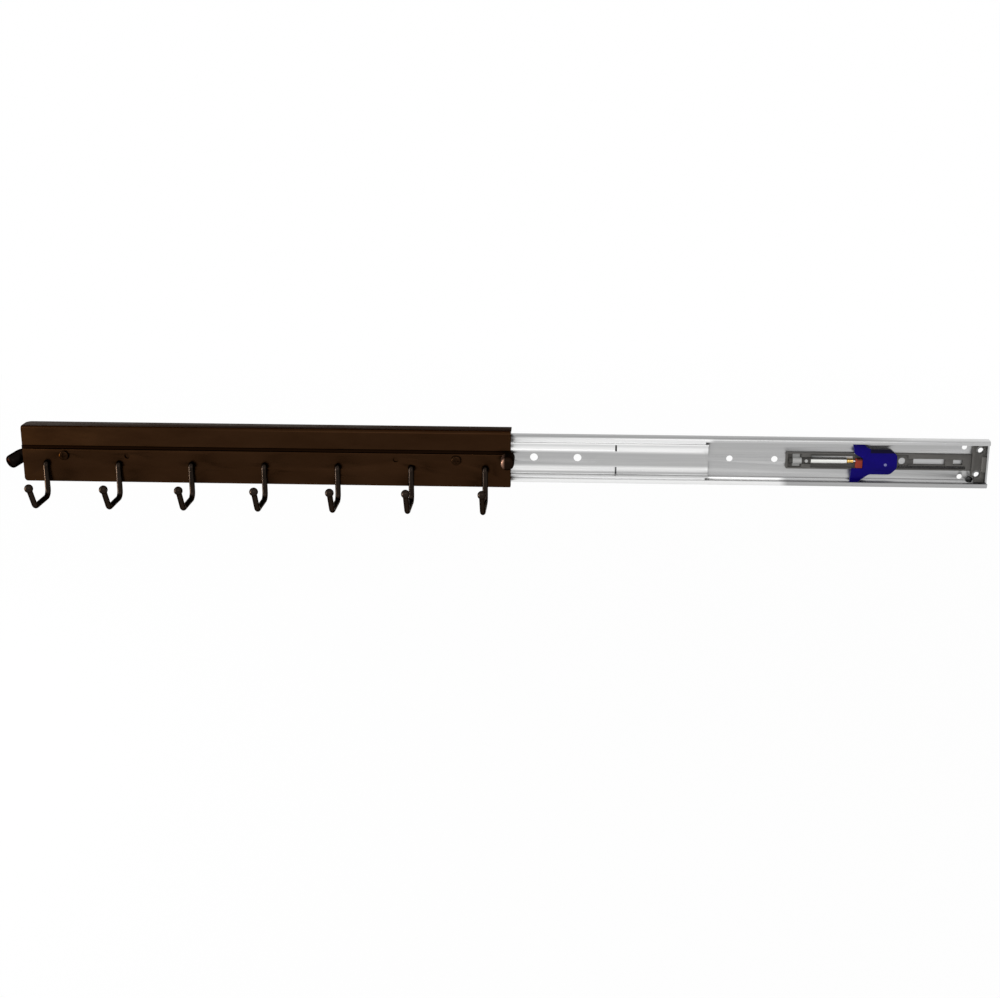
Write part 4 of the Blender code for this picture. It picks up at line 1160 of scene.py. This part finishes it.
def rail_screws():
    """Cross-recess pan-head screws."""
    for name, node in (("front_screw", "rail_screw_front"), ("rear_screw", "rail_screw_rear")):
        screw = Reach(node)
        head = (screw.top - screw.bottom) / 2
        seat = screw.front - SCREW_HEAD_HEIGHT
        side = screw.front - SCREW_DOME
        profile = [(0, screw.front)]
        for turn in quarter_turn(1):
            out = head * math.sin(turn) ** SCREW_FULLNESS
            profile.append((out, side + SCREW_DOME * math.cos(turn) ** SCREW_FULLNESS))
        profile += [(head, seat), (SCREW_SHANK / 2, seat), (SCREW_SHANK / 2, screw.back), (0, screw.back)]
        bm = turned(profile, (screw.across, 0, screw.middle), TO_USER)
        for wide, tall in ((CROSS_LENGTH, CROSS_WIDTH), (CROSS_WIDTH, CROSS_LENGTH)):
            recess = block(
                (screw.across - wide / 2, screw.front - CROSS_DEPTH, screw.middle - tall / 2),
                (screw.across + wide / 2, screw.front + CROSS_DEPTH, screw.middle + tall / 2),
            )
            bm = machined(bm, recess)
        piece(name, softened(bm, STRIP_EDGE / 2), "rail", screw_coat, node)


def front_pull():
    """Round bar bent towards the user, on a plug in the open end of the inner strip."""
    radius = PULL_ROD / 2
    start = Vector((rail.left - FIT_GAP, radius - inner.front, -PULL_DROP))
    elbow = start - Vector((PULL_STEM, 0, 0))
    lean = Vector((-math.cos(PULL_TURN), -math.sin(PULL_TURN), 0)) * PULL_LENGTH
    tip = elbow + lean - Vector((0, 0, PULL_DIP))
    heading = (tip - elbow).normalized()
    painted_top_shade = tip - heading * PULL_ROUND
    bm = bmesh.new()
    first, last = bent_wire(bm, [(start, 0), (elbow, PULL_BEND), (painted_top_shade, 0)], radius, 2 * WIRE_STEPS)
    bmesh.ops.edgeloop_fill(bm, edges=first)
    stations = [
        (PULL_ROUND * math.sin(turn), radius - PULL_ROUND * (1 - math.cos(turn))) for turn in quarter_turn(1)
    ]
    swollen(bm, last, painted_top_shade, heading, radius, stations)
    bmesh.ops.recalc_face_normals(bm, faces=bm.faces)
    plug_half = inner.top - INNER_SHEET - FIT_GAP
    plug = block(
        (start.x - PULL_PLATE, inner.back + FIT_GAP, -plug_half),
        (pull.right, inner.front - INNER_SHEET - FIT_GAP, plug_half),
    )
    bm = machined(bm, softened(plug, 2 * STRIP_EDGE), "UNION")
    piece("front_pull", bm, "rail", pull_coat, "finger_pull")


def end_bumper():
    """Round slotted bumper on the rear edge of the rail."""
    length = BUMPER_PROUD + RAIL_WALL + SEAT_GAP + BUMPER_BACK
    radius = BUMPER / 2
    profile = [(0, length)]
    for turn in quarter_turn():
        inward = BUMPER_EDGE * (1 - math.sin(turn))
        profile.append((radius - inward, length - BUMPER_EDGE * (1 - math.cos(turn))))
    profile += [(radius, 0), (0, 0)]
    x = rail.right - BUMPER_INSET
    wall = rail.front - RAIL_WALL - SEAT_GAP
    lean = Matrix.Rotation(BUMPER_TILT, 4, "X") @ TO_USER
    bm = turned(profile, (x, BUMPER_BACK - wall, BUMPER_RISE), lean)
    slot = block(
        (x - BUMPER, wall, BUMPER_RISE - BUMPER),
        (rail.right + SEAT_GAP, rail.front + SEAT_GAP, BUMPER_RISE + BUMPER),
    )
    bm = machined(bm, slot)
    piece("end_bumper", softened(bm, STRIP_EDGE), "rail", bumper_coat, "rear_bumper")


# Soft close


def soft_close_tray():
    """Moulded tray: saddle for the damper, slot for the trigger's keel, groove for the spring, windows."""
    half = tray.top
    basin = half - TRAY_WALL
    floor = tray.back + TRAY_FLOOR
    cheek = DAMPER / 2 + SEAT_GAP
    saddle = tray.left + SADDLE_START
    saddle_end = saddle + SADDLE_LENGTH
    slot = KEEL / 2 + FIT_GAP
    block_start = coupling.right + TRIGGER_TRAVEL + 2 * FIT_GAP
    slot_end = trigger.right - KEEL_INSET + TRIGGER_TRAVEL + SLOT_MARGIN
    window = slot_end + WINDOW_GAP
    groove_end = window + WINDOW_LENGTH + ANCHOR_WALL
    bm = moulded(oblong(tray.left, tray.right, -half, half, TRAY_WALL), tray.back, tray.front)
    hollow = [
        (tray.left + TRAY_END, -basin), (saddle, -basin), (saddle, -cheek), (saddle_end, -cheek),
        (saddle_end, -basin), (groove_end, -basin), (groove_end, -slot - SLOT_WALL),
        (block_start, -slot - SLOT_WALL), (block_start, -slot), (slot_end, -slot),
        (slot_end, slot), (block_start, slot), (block_start, basin), (saddle_end, basin),
        (saddle_end, cheek), (saddle, cheek), (saddle, basin), (tray.left + TRAY_END, basin),
    ]
    bm = machined(bm, moulded(square_cut(hollow), floor, floor + THROUGH))
    front_window = FRONT_WINDOW_HEIGHT / 2
    seat = saddle - DAMPER_SEAT
    seat_end = saddle_end + DAMPER_SEAT
    well = [
        (cylinder.left + FRONT_WINDOW_INSET, front_window), (seat, front_window), (seat, DAMPER / 2),
        (seat_end, DAMPER / 2),
    ]
    below = [(x, -height) for x, height in reversed(well)]
    well += [(seat_end, WELL_RISE), (gland.right, WELL_RISE)]
    well += [(gland.right, -WELL_DROP), (seat_end, -WELL_DROP)]
    bm = machined(bm, moulded(square_cut(well + below), -THROUGH, THROUGH))
    windows = blocks([
        ((block_start + SLOT_MARGIN, 0, -slot + SEAT_GAP), (slot_end - SEAT_GAP, THROUGH, slot - SEAT_GAP)),
        ((window, 0, -WINDOW_HEIGHT / 2), (window + WINDOW_LENGTH, THROUGH, WINDOW_HEIGHT / 2)),
    ])
    bm = machined(bm, windows)
    eye = (trigger.right + block_start) / 2
    bm = machined(bm, pins([(eye, 0, ROUND_WINDOW)], 0, THROUGH))
    piece("soft_close_tray", softened(bm, TRAY_EDGE), "outer", grey_moulding, "damper_tray")


def on_damper(profile, start):
    """Solid turned about the damper's axis, from a place along the slide."""
    return turned(profile, (start, -damper_axis, 0), TO_REAR)


def damper():
    """Damper: a drawn cup with a cap, a foot in the tray's window, a boss, and a pinned collar."""
    radius = DAMPER / 2
    bore = DAMPER_BORE / 2
    neck = radius - COLLAR_DEPTH
    inside = neck + SNUG_GAP
    length = cylinder.right - cylinder.left
    begin = tray.left + SADDLE_START - cylinder.left
    end = begin + SADDLE_LENGTH
    cup = [
        (0, DAMPER_END), (bore, DAMPER_END), (bore, length), (radius - DAMPER_EDGE, length),
        (radius, length - DAMPER_EDGE), (radius, end), (neck, end), (neck, DAMPER_ROUND), (0, DAMPER_ROUND),
    ]
    piece(
        "damper_cup", on_damper(cup, cylinder.left), "outer", drawn_tube, "damper_cylinder",
    )
    seam = FRONT_WINDOW_INSET
    cap = [(inside, begin), (radius, begin), (radius, seam), (inside, seam), (inside, begin)]
    piece("damper_cap", on_damper(cap, cylinder.left), "outer", cap_moulding)
    high = FRONT_WINDOW_HEIGHT / 2 - SEAT_GAP
    window_front = cylinder.left + seam + SEAT_GAP
    window_rear = cylinder.left + begin - DAMPER_SEAT - SEAT_GAP
    outline = oblong(window_front, window_rear, -high, high, FOOT_CORNER)
    foot = moulded(outline, tray.back, tray.back + TRAY_FLOOR)
    bed = [(0, 0), (radius + SNUG_GAP, 0), (radius + SNUG_GAP, length), (0, length)]
    foot = machined(foot, on_damper(bed, cylinder.left))
    piece("damper_foot", foot, "outer", cap_moulding)
    seam -= SNUG_GAP
    boss = [(inside, seam), (radius, seam)]
    for turn in quarter_turn():
        boss.append((radius - DAMPER_ROUND * (1 - math.cos(turn)), DAMPER_ROUND * (1 - math.sin(turn))))
    socket = DAMPER_ROUND - SNUG_GAP
    boss += [(0, 0), (0, socket), (inside, socket), (inside, seam)]
    piece("damper_boss", on_damper(boss, cylinder.left), "outer", collar_moulding)
    begin += SNUG_GAP
    end -= SNUG_GAP
    band = [
        (inside, begin), (inside, end), (radius - DAMPER_EDGE, end), (radius, end - DAMPER_EDGE),
        (radius, begin + DAMPER_EDGE), (radius - DAMPER_EDGE, begin), (inside, begin),
    ]
    pin_place = cylinder.left + (begin + end) / 2
    hole = pins([(pin_place, 0, COLLAR_PIN + 2 * SNUG_GAP)], damper_axis, THROUGH)
    collar = machined(on_damper(band, cylinder.left), hole)
    piece("damper_collar", collar, "outer", collar_moulding)
    pin = pins([(pin_place, 0, COLLAR_PIN)], damper_axis + neck - DAMPER_EDGE, cylinder.front - SNUG_GAP)
    piece("collar_pin", softened(pin, SNUG_GAP), "outer", cap_moulding)


def gland_and_rod():
    """Grooved brass gland in the damper's mouth, and the polished rod with its piston."""
    eye = ROD / 2 + FIT_GAP
    outside = (gland.top - gland.bottom) / 2
    waist = outside - DAMPER_EDGE
    length = gland.right - gland.left
    groove_start, floor_start, floor_end, groove_end = (length * share for share in GLAND_GROOVE)
    collet = [
        (eye, 0), (eye, length), (waist, length), (outside, length - DAMPER_EDGE),
        (outside, groove_end), (waist, floor_end), (waist, floor_start), (outside, groove_start),
        (outside, DAMPER_EDGE), (waist, 0), (eye, 0),
    ]
    piece("brass_gland", on_damper(collet, gland.left), "outer", gland_brass, "damper_gland")
    rod = Reach("damper_rod")
    piston = (rod.top - rod.bottom) / 2
    length = rod.right - rod.left
    stem = [
        (0, length), (ROD / 2, length), (ROD / 2, PISTON_LENGTH),
        (piston, PISTON_LENGTH), (piston, 0), (0, 0),
    ]
    piece("piston_rod", on_damper(stem, rod.left), "trigger", damper_steel, "damper_rod")


def rod_block():
    """Red block on the end of the damper rod."""
    outline = oblong(coupling.left, coupling.right, coupling.bottom, coupling.top, COUPLING_CORNER)
    bm = moulded(outline, coupling.back, coupling.front)
    depth = coupling.right - coupling.left - ROD + SEAT_GAP
    place = Matrix.Translation((coupling.left, -damper_axis, 0)) @ TO_REAR
    socket = bmesh.new()
    bar(socket, ROD + 2 * SEAT_GAP, 2 * depth, place)
    bm = machined(bm, socket)
    piece("rod_block", softened(bm, TRAY_EDGE), "trigger", red_moulding, "rod_coupling")


def blue_trigger():
    """Trigger over the tray, winged at the front, with a keel in the tray's slot and a spring peg."""
    wing = trigger.top
    half = TRIGGER_HEIGHT / 2
    notch_end = coupling.right + FIT_GAP
    notch_bottom = coupling.bottom - FIT_GAP
    taper = trigger.left + WING_LENGTH
    lower = trigger.left + LOWER_EAR_INSET
    soft = TRIGGER_CORNER
    side = [
        (taper, wing, 2 * soft), (taper + WING_TAPER, half, 2 * soft),
        (trigger.right - TRIGGER_NOSE, half, 2 * soft), (trigger.right, half - TRIGGER_NOSE, 2 * soft),
    ]
    outline = [
        (notch_end, coupling.top + FIT_GAP, 0), (trigger.left + MOUTH_INSET, TRIGGER_MOUTH, soft),
        (trigger.left + EAR_INSET, wing, soft), *side,
        *((x, -height, corner) for x, height, corner in reversed(side)),
        (lower, -wing, soft), (lower + LOWER_EAR_LEAN, notch_bottom, soft), (notch_end, notch_bottom, 0),
    ]
    bm = moulded(outline, trigger.back, trigger.front)
    ear = [
        (lower, -wing + 2 * soft, 0), (taper, -wing + 2 * soft, 0),
        (taper - soft, -wing - EAR_DROP, soft), (lower, -wing - EAR_DROP, soft),
    ]
    bm = machined(bm, moulded(ear, trigger.back + EAR_BACK, trigger.front - SNUG_GAP), "UNION")
    channel = tray.top + RUN_GAP
    cap = trigger.front - TRIGGER_CAP
    bm = machined(bm, block((trigger.left - THROUGH, 0, -channel), (trigger.right + THROUGH, cap, channel)))
    sunk = cap + TRIGGER_CAP / 2
    foot = tray.back + TRAY_FLOOR + RUN_GAP
    keel = block((notch_end + FIT_GAP, foot, -KEEL / 2), (trigger.right - KEEL_INSET, sunk, KEEL / 2))
    bm = machined(bm, keel, "UNION")
    peg = pins([(trigger.right - PEG_INSET, spring.middle, PEG)], foot, sunk)
    bm = softened(machined(bm, peg, "UNION"), TRIGGER_EDGE, 3)
    # The peg end is a real part whose light colour is partly a painted highlight on the trigger
    button = pins([(trigger.left + PEG_END_PLACE, PEG_END_HEIGHT, PEG_END)], sunk, trigger.front + SNUG_GAP)
    piece("peg_end", softened(button, TRAY_EDGE), "trigger", peg_and_highlight_moulding)
    piece("blue_trigger", bm, "trigger", blue_moulding, "close_trigger")


def coil_spring():
    """Tension spring in the tray's groove, which shortens towards its fixed rear end."""
    radius = (spring.top - spring.bottom - SPRING_WIRE) / 2
    depth = (spring.back + spring.front) / 2
    start = spring.left + SPRING_LOOP
    end = spring.right - SPRING_LOOP
    steps = SPRING_CURLS * CURL_STEPS
    bm = bmesh.new()
    first = Vector((start, -depth, spring.middle + radius))
    edges = ring(bm, first, Vector((0, 1, 0)), SPRING_WIRE / 2, CURL_SIDES)
    bmesh.ops.spin(
        bm, geom=ring_verts(edges) + edges, cent=(start, -depth, spring.middle), axis=(1, 0, 0),
        dvec=((end - start) / steps, 0, 0), angle=2 * math.pi * SPRING_CURLS, steps=steps,
    )
    open_edges = [edge for edge in bm.edges if edge.is_boundary]
    bmesh.ops.holes_fill(bm, edges=open_edges, sides=0)
    made = piece("coil_spring", bm, "outer", spring_steel, "return_spring")
    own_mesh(made)


def end_stop():
    """Moulded block at the rear, with the buffer that the strips close against."""
    inner_edge = stop.left + STOP_NOTCH
    notch = stop.bottom + STOP_NOTCH_RISE
    outline = [
        (stop.left, notch, STOP_EDGE), (inner_edge, notch, STOP_EDGE), (inner_edge, stop.bottom, STOP_EDGE),
        (stop.right, stop.bottom, 0), (stop.right, stop.top, 0), (stop.left, stop.top, STOP_CORNER),
    ]
    bm = moulded(outline, stop.back, trigger.front)
    half = STOP_BUFFER / 2
    pad = block(
        (stop.right - STOP_BUFFER_LENGTH, stop.back + SEAT_GAP, -half),
        (stop.right - SEAT_GAP, stop.front, half),
    )
    bm = machined(bm, pad, "UNION")
    aside, rise = STOP_HOLE_SHIFT
    holes = [(outer.right - place + aside, height + rise, STOP_HOLE) for place, height in REAR_HOLES[2:]]
    bm = machined(bm, pins(holes, -THROUGH, 2 * THROUGH))
    piece("end_stop", softened(bm, STOP_EDGE), "outer", grey_moulding, "rear_stop")


def dark_rivet():
    """Domed rivet beside the stop."""
    head = (rivet.top - rivet.bottom) / 2
    seat = OUTER_SHEET + SEAT_GAP
    shank = RIVET_SHANK / 2
    profile = [(0, rivet.front)]
    for turn in quarter_turn(1):
        profile.append((head * math.sin(turn), seat + (rivet.front - seat) * math.cos(turn)))
    profile += [(shank, seat), (shank, rivet.back), (0, rivet.back)]
    bm = turned(profile, (rivet.across, 0, rivet.middle), TO_USER)
    piece("dark_rivet", bm, "outer", rivet_steel, "tray_rivet")


outer_channel()
middle_strip()
inner_strip()
ball_cages()
rail_extrusion()
wire_hooks()
rail_screws()
front_pull()
end_bumper()
soft_close_tray()
damper()
gland_and_rod()
rod_block()
blue_trigger()
coil_spring()
end_stop()
dark_rivet()


# Studio


def seen_directly(tree):
    """Share of rays that see the surroundings as white: camera, reflection and transmission."""
    rays = tree.nodes.new("ShaderNodeLightPath")
    share = rays.outputs["Is Camera Ray"]
    for name in ("Is Glossy Ray", "Is Transmission Ray"):
        inputs = {0: share, 1: rays.outputs[name]}
        share = add_node(tree, "ShaderNodeMath", inputs, operation="MAXIMUM").outputs[0]
    return share


def whitened(tree, share, plain, white, output):
    """Send one shader out, and another to the share of rays that see white."""
    mix = add_node(tree, "ShaderNodeMixShader", {"Fac": share, 1: plain, 2: white})
    tree.links.new(mix.outputs["Shader"], tree.nodes[output].inputs["Surface"])


def studio_floor():
    """Pale floor well below the rack, white to the camera with a soft shadow left on it."""
    paper = bpy.data.materials.new("studio_floor")
    paper.use_nodes = True
    tree = paper.node_tree
    shader = tree.nodes["Principled BSDF"]
    shader.inputs["Base Color"].default_value = FLOOR_COLOUR
    shader.inputs["Roughness"].default_value = FLOOR_ROUGHNESS
    glow = add_node(tree, "ShaderNodeEmission", {"Strength": 1})
    place = add_node(tree, "ShaderNodeTexCoord").outputs["Object"]
    away = add_node(tree, "ShaderNodeVectorMath", {0: place}, operation="LENGTH").outputs["Value"]
    fade = {"Value": away, "From Min": FLOOR_NEAR, "From Max": FLOOR_FAR, "To Min": FLOOR_WHITE}
    white = add_node(tree, "ShaderNodeMapRange", fade).outputs["Result"]
    inputs = {0: seen_directly(tree), 1: white}
    share = add_node(tree, "ShaderNodeMath", inputs, operation="MULTIPLY").outputs[0]
    whitened(tree, share, shader.outputs["BSDF"], glow.outputs["Emission"], "Material Output")
    bm = bmesh.new()
    level = Matrix.Translation((0, 0, cad_box[0].z - FLOOR_DROP))
    bmesh.ops.create_grid(bm, x_segments=1, y_segments=1, size=FLOOR_SIZE / 2, matrix=level)
    mesh = bpy.data.meshes.new("floor")
    bm.to_mesh(mesh)
    bm.free()
    mesh.materials.append(paper)
    floor = bpy.data.objects.new("floor", mesh)
    scene.collection.objects.link(floor)


def studio_surround():
    """World that is white to look at and lights the object at a plain level."""
    world = bpy.data.worlds.new("studio")
    world.use_nodes = True
    scene.world = world
    tree = world.node_tree
    ambient = tree.nodes["Background"]
    ambient.inputs["Color"].default_value = WHITE
    ambient.inputs["Strength"].default_value = AMBIENT
    white = add_node(tree, "ShaderNodeBackground", {"Color": WHITE, "Strength": 1})
    shares = seen_directly(tree)
    whitened(tree, shares, ambient.outputs["Background"], white.outputs["Background"], "World Output")


def softbox(name, place, aim, width, height, power):
    """Rectangular lamp aimed at a point, and not seen by the camera."""
    lamp = bpy.data.lights.new(name, "AREA")
    lamp.shape = "RECTANGLE"
    lamp.size = width
    lamp.size_y = height
    lamp.energy = power
    made = bpy.data.objects.new(name, lamp)
    made.location = place
    made.rotation_euler = (Vector(aim) - Vector(place)).to_track_quat("-Z", "Y").to_euler()
    made.visible_camera = False
    scene.collection.objects.link(made)


def photo_camera():
    """Camera at the photograph's place and angle."""
    lens = bpy.data.cameras.new("photo_camera")
    lens.sensor_width = CAMERA_SENSOR
    lens.lens = CAMERA_LENS
    made = bpy.data.objects.new("photo_camera", lens)
    made.location = CAMERA_PLACE
    made.rotation_euler = (math.pi / 2 - CAMERA_DOWN, 0, CAMERA_LEFT)
    scene.collection.objects.link(made)
    scene.camera = made


studio_floor()
studio_surround()
for lamp in LAMPS:
    softbox(*lamp)
photo_camera()
scene.view_settings.view_transform = "Standard"
